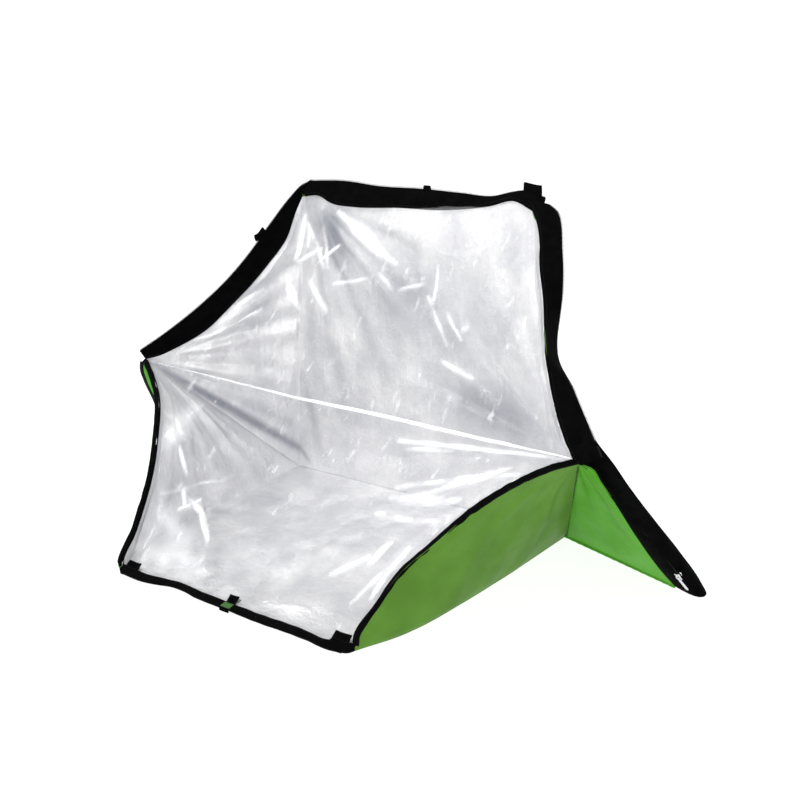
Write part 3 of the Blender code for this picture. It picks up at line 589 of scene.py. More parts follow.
def rolled_edge(name, line, radius, look, aside=(0, 0, 1)):
    """A round cord of fabric along a line: P(i, j) = line(i) + radius (cos j · across(i) + sin j · up(i)),
    thinner and thicker by a tenth every few millimetres."""
    tangent = unit(np.gradient(line, axis=0))
    across = unit(np.cross(tangent, np.array(aside)))
    up = np.cross(across, tangent)
    turn = circle(12)[None, :, None]
    plump = radius * (1 + 0.1 * np.sin(np.arange(len(line)) * 1.1))[:, None, None]
    return tube(name, line[:, None] + plump * (np.cos(turn) * across[:, None] + np.sin(turn) * up[:, None]), look)


ear_rows, ear_columns, ear_lift = 60, 110, 0.004
for side_name, side in sides.items():
    seam = smooth_line([peaks[side_name], fold_corners[side_name]], ear_columns)
    edge = smooth_line(ear_inner[side_name], ear_columns)
    ear_grid = seam[None] + np.linspace(0, 1, ear_rows)[:, None, None] * (edge - seam)[None]
    ear_grid[..., 2] = np.maximum(ear_grid[..., 2], ear_lift)
    normal = face_normals(ear_grid, (0, 1, 0))
    swell = hump(ear_rows)[:, None] * hump(ear_columns)[None, :]
    waves = (ripple(ear_grid, 61 + side, 0.09, 0.0014) + fan(ear_grid, peaks[side_name], (0.36 * side, 0.2, 0.0),
        14, 0.16, 0.0018, 64))
    ear_grid = ear_grid + normal * (0.004 * swell + waves * swell)[..., None]
    half_thick = (0.0012 + 0.002 * np.clip(swell * 3, 0, 1))[..., None]
    ear_panel = closed_sheet(f"{side_name}_ear_panel", ear_grid - normal * half_thick,
        ear_grid + normal * half_thick, ear_look)
    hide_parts(f"{side_name}_ear_front_cover", f"{side_name}_ear_padding",
        f"{side_name}_ear_rear_cover")
    hem_line = np.array([ear_grid[0, -1], ear_grid[-1, -1]]) * np.array((1, 1, 0)) + np.array((0, 0, 0.0022))
    seam_roll = rolled_edge(f"{side_name}_ear_seam_roll", seam[6:-2] + np.array((0.004 * side, -0.003, -0.002)),
        0.0017, seam_shade_look)
    hem_roll = rolled_edge(f"{side_name}_ear_hem_roll", smooth_line(hem_line, 90), 0.002, ear_look)
    fasten(f"{side_name}_ear", "cover", ear_panel, seam_roll, hem_roll)
    for piece in (ear_panel, seam_roll, hem_roll):
        lie_flat(piece)

# Bindings
# A black tape, folded over the raw edge of the floor's front and of each base wall and sewn
# through. It is 8 mm wide, rounds over the edge and ripples a little.
wall_binding_width = 0.008


def strap(name, low, high, thickness, look, wave=None, squareness=0.45, middle=None, middle_share=0.4):
    """A band from line low to line high. Across it each point lies on the straight line between them, or
    on the parabola that also passes the middle line at its share; then ± thickness / 2 along the
    normal, once round a rounded oblong. Its ends are closed."""
    turn = circle(32)
    across = 0.5 - 0.5 * squared(np.cos(turn), 0.8)
    out = squared(np.sin(turn), squareness)
    s, m = across[None, :, None], middle_share
    start, end = low[:, None], high[:, None]
    if middle is None:
        face = start + s * (end - start)
        run = np.broadcast_to(end - start, face.shape)
    else:
        between = middle[:, None]
        face = start * (s - m) * (s - 1) / m + between * s * (s - 1) / (m * (m - 1)) + end * s * (s - m) / (1 - m)
        run = start * (2 * s - m - 1) / m + between * (2 * s - 1) / (m * (m - 1)) + end * (2 * s - m) / (1 - m)
    normal = unit(np.cross(unit(np.gradient(face, axis=0)), unit(run)))
    rings = face + (thickness / 2) * out[None, :, None] * normal
    if wave is not None:
        rings = rings + normal * wave(rings, across)[..., None]
    return tube(name, rings, look)


def rippled(seed, size, depth):
    """The wave of a strap that only ripples."""
    return lambda rings, across: ripple(rings, seed, size, depth)


def black_tape_look(name, colour, thread, roughness):
    """Black woven tape: ribs across its length, a faint grey mottle at random."""
    look, tree, shader = node_material(name, colour, roughness)
    place, body = cloth_place(tree), object_place(tree)
    tree.links.new(graded(tree, noise(tree, body, 55.0, 4.0), 0.4, 0.8, colour,
        tuple(1.6 * c + 0.0006 for c in colour)), shader.inputs["Base Color"])
    tree.links.new(ranged(tree, noise(tree, body, 90.0), 0.3, 0.7, roughness - 0.12, roughness + 0.08),
        shader.inputs["Roughness"])
    shader.inputs["Specular IOR Level"].default_value = 0.03
    bumps(tree, shader, (noise(tree, body, 45.0, 3.0), 0.4, 0.0014), (woven(tree, place, thread), 0.45, 0.00022))
    return look


binding_look = black_tape_look("binding_black", (0.0014, 0.0014, 0.0016), 0.0007, 0.82)
band_look = black_tape_look("band_black", (0.0011, 0.0011, 0.0013), 0.0009, 0.88)
thread_look, thread_tree, thread_shader, thread_place = mottled("thread_black", (0.006, 0.006, 0.007), 0.65, 300.0,
    0.3, 0.7, (0.004, 0.004, 0.005), (0.012, 0.012, 0.013))
thread_shader.inputs["Specular IOR Level"].default_value = 0.15
bumps(thread_tree, thread_shader, (noise(thread_tree, thread_place, 1500.0), 0.4, 0.0002))


def stitch_row(name, line, normal, pitch=0.0042, length=0.003, radius=0.00038):
    """Stitches at even places on a line: each is a small spindle of three rings of five and two tips,
    laid along the line and half sunk in the fabric."""
    total = np.linalg.norm(np.diff(line, axis=0), axis=1).sum()
    count = max(int(total / pitch), 2)
    path = smooth_line(line[::4], count * 2 + 1)
    tangent = unit(np.gradient(path, axis=0))[1::2]
    up = unit(read_at(np.linspace(0, 1, count * 2 + 1), np.linspace(0, 1, len(normal)), normal))[1::2]
    up = unit(up - tangent * (up * tangent).sum(axis=1, keepdims=True))
    across = np.cross(up, tangent)
    turn = circle(5)
    shape = [(-length / 2, 0.0, 0.0)]
    for place, size in ((-0.32, 0.8), (0.0, 1.0), (0.32, 0.8)):
        shape += [(place * length, size * radius * math.cos(a), size * radius * math.sin(a)) for a in turn]
    shape = np.array(shape + [(length / 2, 0.0, 0.0)])
    faces = [[0, 1 + (i + 1) % 5, 1 + i] for i in range(5)]
    for ring in (1, 6):
        faces += [[ring + i, ring + (i + 1) % 5, ring + 5 + (i + 1) % 5, ring + 5 + i] for i in range(5)]
    faces += [[11 + i, 11 + (i + 1) % 5, 16] for i in range(5)]
    centre = path[1::2] + up * radius * 0.3
    points = (centre[:, None] + shape[None, :, :1] * tangent[:, None] + shape[None, :, 1:2] * across[:, None]
        + shape[None, :, 2:] * up[:, None])
    every = [[corner + 17 * k for corner in face] for k in range(count) for face in faces]
    return add_piece(name, points.reshape(-1, 3), every, thread_look, sharp=180)


front_count, edge_count = 240, 220
front_line = smooth_line(floor_front_line, front_count)
front_out = smooth_line([(-0.2075, -0.227, 0.0036), (-0.203, -0.237, 0.0034), (-0.187, -0.2415, 0.0034),
    (-0.15, -0.243, 0.0034), (-0.103, -0.2318, 0.0034), (-0.051, -0.2385, 0.0034), (0.002, -0.2408, 0.0034),
    (0.051, -0.244, 0.0034), (0.104, -0.244, 0.0034), (0.1405, -0.245, 0.0034), (0.178, -0.2485, 0.0034),
    (0.203, -0.241, 0.0034), (0.21, -0.228, 0.0036)], front_count)
front_in = front_line + np.array((0.0, 0.0068, 0.0002))
front_piece = strap("front_edge_binding", front_out, front_in, 0.0064, binding_look, rippled(71, 0.03, 0.0004))
front_stitches = stitch_row("front_edge_stitches", front_line + np.array((0.0, 0.0036, 0.0026)),
    np.tile((0.0, 0.0, 1.0), (front_count, 1)))
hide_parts("front_binding")
fasten("base", "band", front_piece, front_stitches)
for side_name, side in sides.items():
    top = smooth_line([(0.2055 * side, -0.233, 0.008)] + wall_top_lines[side_name], edge_count)
    tangent = unit(np.gradient(top, axis=0))
    down = unit(smooth_line(foot_lines[side_name], edge_count) - top)
    down = unit(down - tangent * (down * tangent).sum(axis=1, keepdims=True))
    out = unit(np.cross(tangent, down))
    out = out * np.sign((out[:, 0] * side).sum())
    shift, sewn = out * 0.0028, top + down * 0.0038
    binding = strap(f"{side_name}_wall_edge_binding", top - down * 0.002 + shift,
        top + down * (wall_binding_width - 0.002) + shift, 0.008, binding_look, rippled(72, 0.03, 0.0003))
    outer_stitches = stitch_row(f"{side_name}_wall_outer_stitches", sewn + out * 0.0064, out)
    inner_stitches = stitch_row(f"{side_name}_wall_inner_stitches", sewn - out * 0.0011, -out)
    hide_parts(f"{side_name}_wall_binding")
    fasten(f"{side_name}_base_wall", "band", binding, outer_stitches, inner_stitches)
    for piece in (binding, outer_stitches, inner_stitches):
        lie_flat(piece)

# Fold
# The cover's fabric wraps round the fold between floor and back in one soft roll, which the bag
# opens and closes on.
fold_line = smooth_line([(-0.2572, 0.2368, 0.0052), (0.2572, 0.2368, 0.0052)], 160)
fold_roll = strap("fold_roll", fold_line + np.array((0.0, -0.002, -0.0044)),
    fold_line + np.array((0.0, 0.0016, 0.006)), 0.0064, cover_look, rippled(75, 0.05, 0.0003), squareness=0.9)
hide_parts("fold_strip")
fasten("base", "cover", fold_roll)

# Zip bands
# A black band 37 mm wide is sewn along the back's top and sides and along the ears. It carries
# the zip's coil, and lies loose enough to ripple and to twist near the peaks.
right_band_outer = [(0.2, 0.252, 0.494), (0.22, 0.24, 0.487), (0.247, 0.208, 0.439), (0.264, 0.18, 0.391),
    (0.266, 0.173, 0.368), (0.276, 0.145, 0.329), (0.282, 0.135, 0.316), (0.336, 0.085, 0.28), (0.39, 0.039, 0.237),
    (0.404, 0.023, 0.23), (0.409, 0.022, 0.222)]
right_band_low = [(0.166, 0.244, 0.499), (0.183, 0.2345, 0.485)] + right_band_inner[1:-1] + [(0.368, 0.024, 0.211),
    (0.379, 0.027, 0.2045)]
left_band_outer = [(-0.234, 0.254, 0.496), (-0.244, 0.241, 0.489), (-0.254, 0.225, 0.472), (-0.272, 0.196, 0.433),
    (-0.293, 0.161, 0.383), (-0.315, 0.124, 0.34), (-0.34, 0.083, 0.302), (-0.367, 0.038, 0.267),
    (-0.388, 0.001, 0.243)]
top_band_outer = [(-0.236, 0.25, 0.496), (-0.162, 0.249, 0.501), (-0.094, 0.249, 0.498), (-0.014, 0.25, 0.5),
    (0.053, 0.252, 0.499), (0.106, 0.256, 0.498), (0.136, 0.258, 0.506), (0.16, 0.258, 0.51), (0.192, 0.256, 0.503)]
top_band_inner = [(-0.246, 0.243, 0.47), (-0.212, 0.2432, 0.474), (-0.186, 0.2432, 0.464), (-0.14, 0.2432, 0.462),
    (-0.055, 0.2432, 0.468), (0.027, 0.2432, 0.472), (0.102, 0.2432, 0.484), (0.148, 0.2432, 0.496),
    (0.174, 0.237, 0.4885), (0.198, 0.235, 0.477)]
right_ear_outer = [(0.396, 0.027, 0.242), (0.408, 0.025, 0.232), (0.421, 0.025, 0.2195), (0.438, 0.042, 0.185),
    (0.456, 0.089, 0.127), (0.475, 0.136, 0.069), (0.495, 0.164, 0.023), (0.504, 0.17, 0.004)]
left_ear_outer = [(x - 0.029, y + 0.02, max(z - 0.009, 0.004)) for x, y, z in left_ear_inner]
band_count, ear_band_count = 220, 160
zip_along = unit(peak_fold_right - tip_right)
ear_rear = unit(np.cross(peak_fold_right - np.array((0.2575, 0.231, 0.007)),
    tip_right - np.array((0.2575, 0.231, 0.007))))
zip_outwards = np.cross(zip_along, ear_rear)
zip_line = tip_right + np.linspace(-0.001, 0.262, ear_band_count)[:, None] * zip_along - 0.0025 * zip_outwards
coil_look, coil_tree, coil_shader, coil_place = mottled("coil_black", (0.01, 0.01, 0.011), 0.38, 120.0, 0.35, 0.7,
    (0.007, 0.007, 0.008), (0.018, 0.018, 0.02))
coil_tree.links.new(ranged(coil_tree, noise(coil_tree, coil_place, 200.0), 0.3, 0.7, 0.3, 0.48),
    coil_shader.inputs["Roughness"])


def band_wave(seed, depth):
    """Ripples about 45 and 110 mm long, fullest along the band's middle."""
    return lambda rings, across: ((ripple(rings, seed, 0.045, depth) + ripple(rings, seed + 1, 0.11, depth))
        * np.sin(math.pi * np.clip(across, 0.06, 0.94))[None, :])


def zip_coil(name, line, across, width=0.0046, height=0.0022, pitch=0.002, wire=0.0003):
    """A flattened helix round a line: P(t) = line(t) + width / 2 · cos(2πt / pitch) · across + height / 2 ·
    sin(2πt / pitch) · up, with a ring of four points round it at eight places a turn."""
    length = run_length(line)
    turns = int(length[-1] / pitch)
    t = np.linspace(0, turns * pitch, turns * 8 + 1)
    centre, side_way = read_at(t, length, line), unit(read_at(t, length, across))
    tangent = unit(np.gradient(centre, axis=0))
    up = unit(np.cross(tangent, side_way))
    phase = (2 * math.pi * t / pitch)[:, None]
    wound = centre + (width / 2 - wire) * np.cos(phase) * side_way + (height / 2 - wire) * np.sin(phase) * up
    run = unit(np.gradient(wound, axis=0))
    one = unit(np.cross(run, tangent))
    two = np.cross(run, one)
    turn = circle(4)[None, :, None]
    return tube(name, wound[:, None] + wire * (np.cos(turn) * one[:, None] + np.sin(turn) * two[:, None]),
        coil_look)


def zip_band(side_name, inner, outer, count, thickness, seed, nodes, coil_node, body, flat_part=None, middle=None,
        coil_line=None):
    """A strap from the inner to the outer line, its coil on the outer line or on a line of its own, and
    a row of stitches on each face, 4 mm from the inner line."""
    low, high = smooth_line(inner, count), smooth_line(outer, count)
    across = unit(high - low)
    tangent = unit(np.gradient((low + high) / 2, axis=0))
    face = unit(np.cross(tangent, across))
    face = face * np.sign((face[:, 1]).sum())
    lift = thickness / 2 + 0.0002
    sewn = low + across * 0.004
    band = strap(f"{side_name}_zip_band", low, high, thickness, band_look,
        band_wave(seed, 0.0011 if middle is None else 0.0004), 0.35, middle)
    if coil_line is None:
        coil = zip_coil(f"{side_name}_zip_teeth", high, across)
    else:
        coil = zip_coil(f"{side_name}_zip_teeth", coil_line, np.tile(zip_outwards, (len(coil_line), 1)))
    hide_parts(*nodes)
    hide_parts(coil_node)
    stitches = [stitch_row(f"{side_name}_band_stitches_front", sewn - face * lift, -face),
        stitch_row(f"{side_name}_band_stitches_rear", sewn + face * lift, face)]
    fasten(body, "band", band, *stitches)
    fasten(body, "coil", coil)
    if flat_part is not None:
        for piece in (band, coil, *stitches):
            lie_flat(piece)


zip_band("top", top_band_inner, top_band_outer, band_count, 0.0036, 81, ["top_band"], "top_zip_coil", "back")
for side_name, inner, outer in (("right", right_band_low, right_band_outer),
        ("left", left_band_inner, left_band_outer)):
    zip_band(f"{side_name}_side", inner, outer, band_count, 0.0036, 83 + sides[side_name],
        [f"{side_name}_side_band", f"{side_name}_peak_band"], f"{side_name}_side_zip_coil",
        f"{side_name}_back_wall", "back_wall")
zip_band("right_ear", right_ear_inner, right_ear_outer, ear_band_count, 0.0024, 88, ["right_ear_band"],
    "right_ear_zip_coil", "right_ear", flat_part="ear", middle=zip_line[::-1], coil_line=zip_line)
zip_band("left_ear", left_ear_inner, left_ear_outer, ear_band_count, 0.003, 86, ["left_ear_band"],
    "left_ear_zip_coil", "left_ear", "ear")

# Zip slider and pull
# A cast metal slider with a front and a rear plate and turned-in sides, whose arched bridge holds a
# flat pull. It stands near the lower end of the right ear's zip, and the pull hangs down from it.
metal_look, metal_tree, metal_shader, metal_place = mottled("zip_metal", (0.8, 0.8, 0.82), 0.26, 240.0, 0.3, 0.7,
    (0.66, 0.66, 0.69), (0.86, 0.86, 0.88), metal=1.0)
metal_tree.links.new(ranged(metal_tree, noise(metal_tree, metal_place, 500.0), 0.3, 0.7, 0.18, 0.38),
    metal_shader.inputs["Roughness"])
slider_centre = tip_right + 0.04 * zip_along - 0.0025 * zip_outwards
plate_start, plate_thickness = 0.0017, 0.0013
front_face = -plate_start - plate_thickness


def zip_place(points):
    """Along the zip, outwards and towards the rear, from the slider's middle, into the shared frame."""
    points = np.asarray(points, float)
    along, outwards, rear = points[..., :1], points[..., 1:2], points[..., 2:]
    return slider_centre + along * zip_along + outwards * zip_outwards + rear * ear_rear


def cast_plate(name, half_widths, stations, near):
    """A rounded plate: at each station along the zip a ring that runs once round an oblong of that half
    width, from near to near + plate_thickness towards the rear, and 0.4 of that at both ends."""
    wide, deep = squared(np.cos(circle(28)), 0.5), squared(np.sin(circle(28)), 0.6)
    size = np.ones(len(stations))
    size[[0, -1]] = 0.4
    rings = np.stack(np.broadcast_arrays(stations[:, None], half_widths[:, None] * wide[None, :],
        near + plate_thickness / 2 + plate_thickness / 2 * deep[None, :] * size[:, None]), axis=-1)
    return tube(name, zip_place(rings), metal_look)


slider_half = 0.006
slider_stations = np.concatenate([[-slider_half], np.linspace(-0.0058, 0.0058, 22), [slider_half]])
slider_widths = (0.003 + 0.002 / (1 + np.exp(-(slider_stations - 0.0008) / 0.0012))
    - 0.0012 * (np.abs(slider_stations) > 0.0057))
front_plate = cast_plate("zip_slider_front_plate", slider_widths, slider_stations, front_face)
slider_pieces = [front_plate, cast_plate("zip_slider_rear_plate", slider_widths, slider_stations, plate_start)]
for way, way_name in ((-1, "in"), (1, "out")):
    for face_side, face_name in ((-1, "front"), (1, "rear")):
        rim = np.stack([slider_stations, way * (slider_widths - 0.0004),
            np.full(len(slider_stations), face_side * 0.0015)], axis=1)
        slider_pieces.append(rolled_edge(f"zip_slider_rim_{way_name}_{face_name}", zip_place(rim), 0.00055,
            metal_look, tuple(ear_rear)))
arch = np.linspace(0, math.pi, 26)
arch_path = np.stack([0.0006 - 0.0042 * np.cos(arch), np.zeros(26), front_face + 0.0003 - 0.0024 * np.sin(arch)],
    axis=1)
slider_pieces.append(rolled_edge("zip_slider_bridge", zip_place(arch_path), 0.0007, metal_look,
    tuple(zip_outwards)))
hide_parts("zip_slider")
fasten("zip_slider", "metal", *slider_pieces)

# The pull is a flat plate 1.1 mm thick with a hole for the bridge: each of 64 sections runs
# from the hole out to the rim on one face and back on the other.
pull_pin, pull_thickness, pull_steps = front_face - 0.0009, 0.0011, 64
around = circle(pull_steps)
pull_long = squared(np.cos(around), 0.5)
pull_half = 0.003 - 0.0008 * (pull_long + 1) / 2
pull_rim = np.stack([-0.0123 + 0.0128 * pull_long, pull_half * squared(np.sin(around), 0.5)], axis=1)
hole_rim = np.stack([-0.0022 + 0.0017 * np.cos(around), 0.0014 * np.sin(around)], axis=1)
section = [(0.0, -0.5), (0.1, -0.5), (0.97, -0.5), (1.0, -0.25), (1.0, 0.25), (0.97, 0.5), (0.1, 0.5), (0.0, 0.5)]
pull_rings = np.stack([np.column_stack([hole_rim + share * (pull_rim - hole_rim),
    np.full(pull_steps, pull_pin + height * pull_thickness)]) for share, height in section], axis=1)
place = np.arange(pull_steps * len(section)).reshape(pull_steps, len(section))
pull_faces = np.stack([place, np.roll(place, -1, axis=1), np.roll(place, (-1, -1), axis=(0, 1)),
    np.roll(place, -1, axis=0)], axis=-1).reshape(-1, 4)
pull_points = zip_place(pull_rings).reshape(-1, 3)
first, second, third = (pull_points[pull_faces[:, corner]] for corner in range(3))
volume = (np.cross(second - first, third - first) * pull_points[pull_faces].mean(axis=1)).sum()
pull = add_piece("zip_pull_tab", pull_points, (pull_faces if volume > 0 else pull_faces[:, ::-1]).tolist(),
    metal_look, sharp=40)
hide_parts("zip_pull")
fasten("zip_pull", "metal", pull)

# Clear film
# A window of clear film in two panels, welded together along the line between the peaks. The upper
# one is sewn under the top band; the lower one drops to the floor's front edge, under the tabs.
film_thickness = 0.0004


def film_look(name, base_alpha):
    """Thin clear plastic: nearly all see-through, with a faint painted glow, and painted white, glossy highlights
    along its creases and in random streaks.
    """
    look, tree, shader = node_material(name, (0.97, 0.98, 1.0), 0.12)
    shader.inputs["Specular IOR Level"].default_value = 0.9
    # A faint painted white glow, though the film is no lamp.
    shader.inputs["Emission Color"].default_value = (1.0, 1.0, 1.0, 1.0)
    shader.inputs["Emission Strength"].default_value = 0.12
    body = object_place(tree)
    # Painted highlights: white where the film is creased, kept on its points, and in random streaks.
    painted_crease_highlight = add_node(tree, "ShaderNodeAttribute", attribute_name="painted_crease_highlight").outputs["Fac"]
    drawn = add_node(tree, "ShaderNodeMapping", Rotation=(0.0, 0.35, 0.25), Scale=(1.0, 0.35, 0.35))
    tree.links.new(body, drawn.inputs["Vector"])
    painted_highlight_streak = ranged(tree, noise(tree, drawn.outputs["Vector"], 60.0, 6.0, 0.7), 0.58, 0.74, 0.0, 0.22)
    total = add_node(tree, "ShaderNodeMath", operation="ADD")
    tree.links.new(painted_highlight_streak, total.inputs[0])
    tree.links.new(painted_crease_highlight, total.inputs[1])
    base = add_node(tree, "ShaderNodeMath", operation="ADD", use_clamp=True)
    tree.links.new(total.outputs[0], base.inputs[0])
    base.inputs[1].default_value = base_alpha
    tree.links.new(base.outputs[0], shader.inputs["Alpha"])
    bumps(tree, shader, (noise(tree, body, 30.0, 4.0, 0.6), 0.5, 0.003),
        (noise(tree, body, 120.0, 3.0), 0.3, 0.0008))
    return look


clear_look = film_look("clear_film", 0.05)


def film_surface(front, back, left, right):
    """Straight across the middle between the front and back lines. Each side line's distance from that
    straight sheet is added in full at its own side, and falls to the middle with the power 2.5."""
    u = np.linspace(0, 1, len(front))[None, :, None]
    v = np.linspace(0, 1, len(left))[:, None, None]
    straight = (1 - v) * front[None] + v * back[None]
    return (straight + (left[:, None] - straight[:, :1]) * (1 - u) ** 2.5 + (right[:, None] - straight[:, -1:])
        * u ** 2.5)


def film_panel(name, grid, outward, folds, creases, seed, sunk):
    """The film's grid moved along its normals by its folds and creases and back by the sunk vectors,
    given its thickness, with each point's crease kept as the film's painted white highlight. Creases are measured
    as seen square to the panel."""
    normal = face_normals(grid, outward)
    free = hump(grid.shape[0])[:, None] ** 0.5 * hump(grid.shape[1])[None, :] ** 0.5
    square = unit(normal.mean(axis=(0, 1)))
    flatten = lambda p: np.asarray(p) - (np.asarray(p) @ square)[..., None] * square
    ridge_and_painted_highlight = crease_field(flatten(grid), [(flatten(a), flatten(b), w, s) for a, b, w, s in creases])
    ridge_and_painted_highlight = ridge_and_painted_highlight * np.clip(0.8 + 0.35 * ripple(grid, seed + 50, 0.04, 1.0), 0.25, 1.1)
    height = (folds + ripple(grid, seed, 0.06, 0.001) + 0.004 * ridge_and_painted_highlight) * np.clip(free * 1.6, 0, 1)
    grid = grid + normal * height[..., None] + sunk
    piece = closed_sheet(name, grid - normal * film_thickness / 2, grid + normal * film_thickness / 2, clear_look)
    painted_light_mark = piece.data.attributes.new("painted_crease_highlight", "FLOAT", "POINT")
    painted_light_mark.data.foreach_set("value", np.tile(np.clip(ridge_and_painted_highlight, 0, 0.9).ravel(), 2))
    return piece


film_rows, film_columns = 150, 290
weld_left, weld_right = (-0.376, 0.011, 0.226), (0.364, 0.026, 0.211)
weld_line = smooth_line([weld_left, (-0.18, 0.013, 0.2195), (-0.08, 0.014, 0.2165), (0.05, 0.018, 0.216),
    (0.2, 0.022, 0.2125), weld_right], film_columns)
# The seam is set back along the camera's line of sight, so that it keeps its place in the picture.
sight = unit(np.array((-0.995, 1.439, -0.551)))
seam_depth = 0.031
weld_sunk = (np.clip((seam_depth - weld_line[:, 1]) / sight[1], 0, 0.03)
    * (1 - np.linspace(-1, 1, film_columns) ** 4))[:, None] * sight
upper_top = [(-0.243, 0.2438, 0.474), (-0.186, 0.2445, 0.467), (-0.055, 0.2445, 0.471), (0.102, 0.2445, 0.486),
    (0.178, 0.244, 0.494)]
upper_left = smooth_line([weld_left] + [(x + 0.004, y - 0.004, z) for x, y, z in left_band_inner[-2:0:-1]]
    + [upper_top[0]], film_rows)
upper_right = smooth_line([weld_right] + [(x - 0.003, y - 0.004, z) for x, y, z in right_band_inner[-2:0:-1]]
    + [upper_top[-1]], film_rows)
upper_grid = film_surface(weld_line, smooth_line(upper_top, film_columns), upper_left, upper_right)
upper_folds = (fan(upper_grid, weld_left, (0.0, 0.1, 0.33), 26, 0.4, 0.0026, 91)
    + fan(upper_grid, weld_right, (0.0, 0.1, 0.33), 24, 0.34, 0.0022, 92))
# Creases of the upper film: each raises the film a little and paints a white highlight along it; given by its two
# ends, its half width and its strength.
upper_creases_and_painted_highlights = [((-0.166, 0.231, 0.457), (-0.017, 0.178, 0.397), 0.0042, 0.85),
    ((-0.131, 0.219, 0.443), (-0.05, 0.19, 0.408), 0.0075, 0.8),
    ((-0.219, 0.215, 0.438), (-0.156, 0.168, 0.386), 0.0032, 0.55),
    ((-0.185, 0.211, 0.434), (-0.148, 0.168, 0.386), 0.003, 0.45),
    ((-0.142, 0.194, 0.415), (-0.17, 0.172, 0.392), 0.0035, 0.6),
    ((-0.172, 0.15, 0.365), (-0.108, 0.117, 0.329), 0.0035, 0.5),
    ((0.01, 0.15, 0.366), (0.046, 0.16, 0.377), 0.0035, 0.5),
    ((0.065, 0.146, 0.362), (0.129, 0.099, 0.309), 0.0028, 0.45),
    ((0.13, 0.082, 0.29), (0.186, 0.07, 0.277), 0.0035, 0.5),
    ((-0.228, 0.222, 0.447), (-0.222, 0.175, 0.395), 0.004, 0.75),
    ((-0.214, 0.21, 0.434), (-0.206, 0.19, 0.411), 0.003, 0.5),
    ((-0.215, 0.172, 0.391), (-0.178, 0.19, 0.412), 0.0028, 0.7),
    ((-0.222, 0.15, 0.367), (-0.19, 0.128, 0.341), 0.005, 0.6),
    ((-0.2, 0.135, 0.35), (-0.17, 0.118, 0.33), 0.0035, 0.45),
    ((-0.34, 0.06, 0.262), (-0.24, 0.11, 0.318), 0.003, 0.4),
    ((-0.3, 0.11, 0.318), (-0.262, 0.135, 0.347), 0.0045, 0.5),
    ((-0.12, 0.15, 0.365), (-0.06, 0.158, 0.375), 0.0035, 0.4),
    ((-0.04, 0.165, 0.383), (-0.005, 0.15, 0.366), 0.003, 0.35),
    ((0.06, 0.18, 0.4), (0.085, 0.125, 0.337), 0.0022, 0.3),
    ((0.11, 0.13, 0.345), (0.15, 0.105, 0.315), 0.0028, 0.3)]
upper_sunk = weld_sunk[None] * np.linspace(1, 0, len(upper_grid))[:, None, None] ** 2
upper_film = film_panel("upper_film", upper_grid, (0, -1, 1), upper_folds, upper_creases_and_painted_highlights, 93, upper_sunk)
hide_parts("upper_window")
fasten("back", "film", upper_film)
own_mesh(upper_film)

lower_front = [(-0.196, -0.222, 0.0085), (-0.1, -0.222, 0.0085), (0.0, -0.226, 0.0085), (0.1, -0.228, 0.0085),
    (0.196, -0.226, 0.0085)]
lower_left = smooth_line([lower_front[0]] + [(x + 0.009, y + 0.002, z - 0.003) for x, y,
    z in left_wall_top_line[1:-1]] + [weld_left], film_rows)
lower_right = smooth_line([lower_front[-1]] + [(x - 0.009, y + 0.002, z - 0.003) for x, y,
    z in right_wall_top_line[1:-1]] + [weld_right], film_rows)
lower_grid = film_surface(smooth_line(lower_front, film_columns), weld_line, lower_left, lower_right)
lower_folds = (fan(lower_grid, weld_left, (0.0, -0.1, 0.1), 24, 0.34, 0.003, 94)
    + fan(lower_grid, weld_right, (0.0, -0.1, 0.1), 26, 0.36, 0.003, 95))
# Creases of the lower film, as above; the widest ones are broad painted glare over the floor.
lower_creases_and_painted_highlights = [((0.12, -0.008, 0.197), (0.35, 0.017, 0.213), 0.0034, 0.85),
    ((0.14, -0.016, 0.189), (0.205, -0.008, 0.196), 0.005, 0.6),
    ((-0.157, -0.136, 0.085), (-0.118, -0.148, 0.074), 0.0034, 0.75),
    ((-0.126, -0.144, 0.078), (-0.09, -0.174, 0.052), 0.0034, 0.7),
    ((-0.218, -0.083, 0.131), (-0.178, -0.112, 0.106), 0.003, 0.45),
    ((0.13, -0.17, 0.055), (0.17, -0.143, 0.08), 0.0045, 0.85),
    ((0.177, -0.148, 0.075), (0.189, -0.124, 0.096), 0.0045, 0.8),
    ((0.2, -0.18, 0.047), (0.219, -0.125, 0.095), 0.0035, 0.7),
    ((0.158, -0.062, 0.149), (0.315, -0.018, 0.187), 0.0045, 0.5),
    ((0.207, -0.064, 0.147), (0.3, -0.012, 0.192), 0.003, 0.45),
    ((-0.215, -0.148, 0.076), (-0.105, -0.097, 0.118), 0.0028, 0.12),
    ((-0.16, -0.152, 0.072), (-0.134, -0.135, 0.086), 0.0032, 0.65),
    ((-0.172, -0.128, 0.093), (-0.15, -0.15, 0.074), 0.003, 0.55),
    ((0.16, -0.075, 0.137), (0.255, -0.062, 0.149), 0.006, 0.55),
    ((0.15, -0.098, 0.118), (0.24, -0.09, 0.125), 0.004, 0.4),
    ((0.175, -0.19, 0.038), (0.205, -0.15, 0.073), 0.003, 0.55),
    ((-0.3, -0.04, 0.168), (-0.18, -0.075, 0.139), 0.002, 0.1),
    ((-0.185, -0.198, 0.03), (-0.08, -0.205, 0.026), 0.024, 0.3),
    ((-0.215, -0.165, 0.06), (-0.09, -0.196, 0.034), 0.028, 0.22),
    ((-0.06, -0.19, 0.036), (0.11, -0.165, 0.06), 0.038, 0.1),
    ((-0.238, -0.082, 0.134), (-0.236, -0.034, 0.174), 0.015, 0.24)]
lower_sunk = weld_sunk[None] * np.linspace(0, 1, len(lower_grid))[:, None, None] ** 2
lower_film = film_panel("lower_film", lower_grid, (0, -1, 1), lower_folds, lower_creases_and_painted_highlights, 96, lower_sunk)
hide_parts("window_flap")
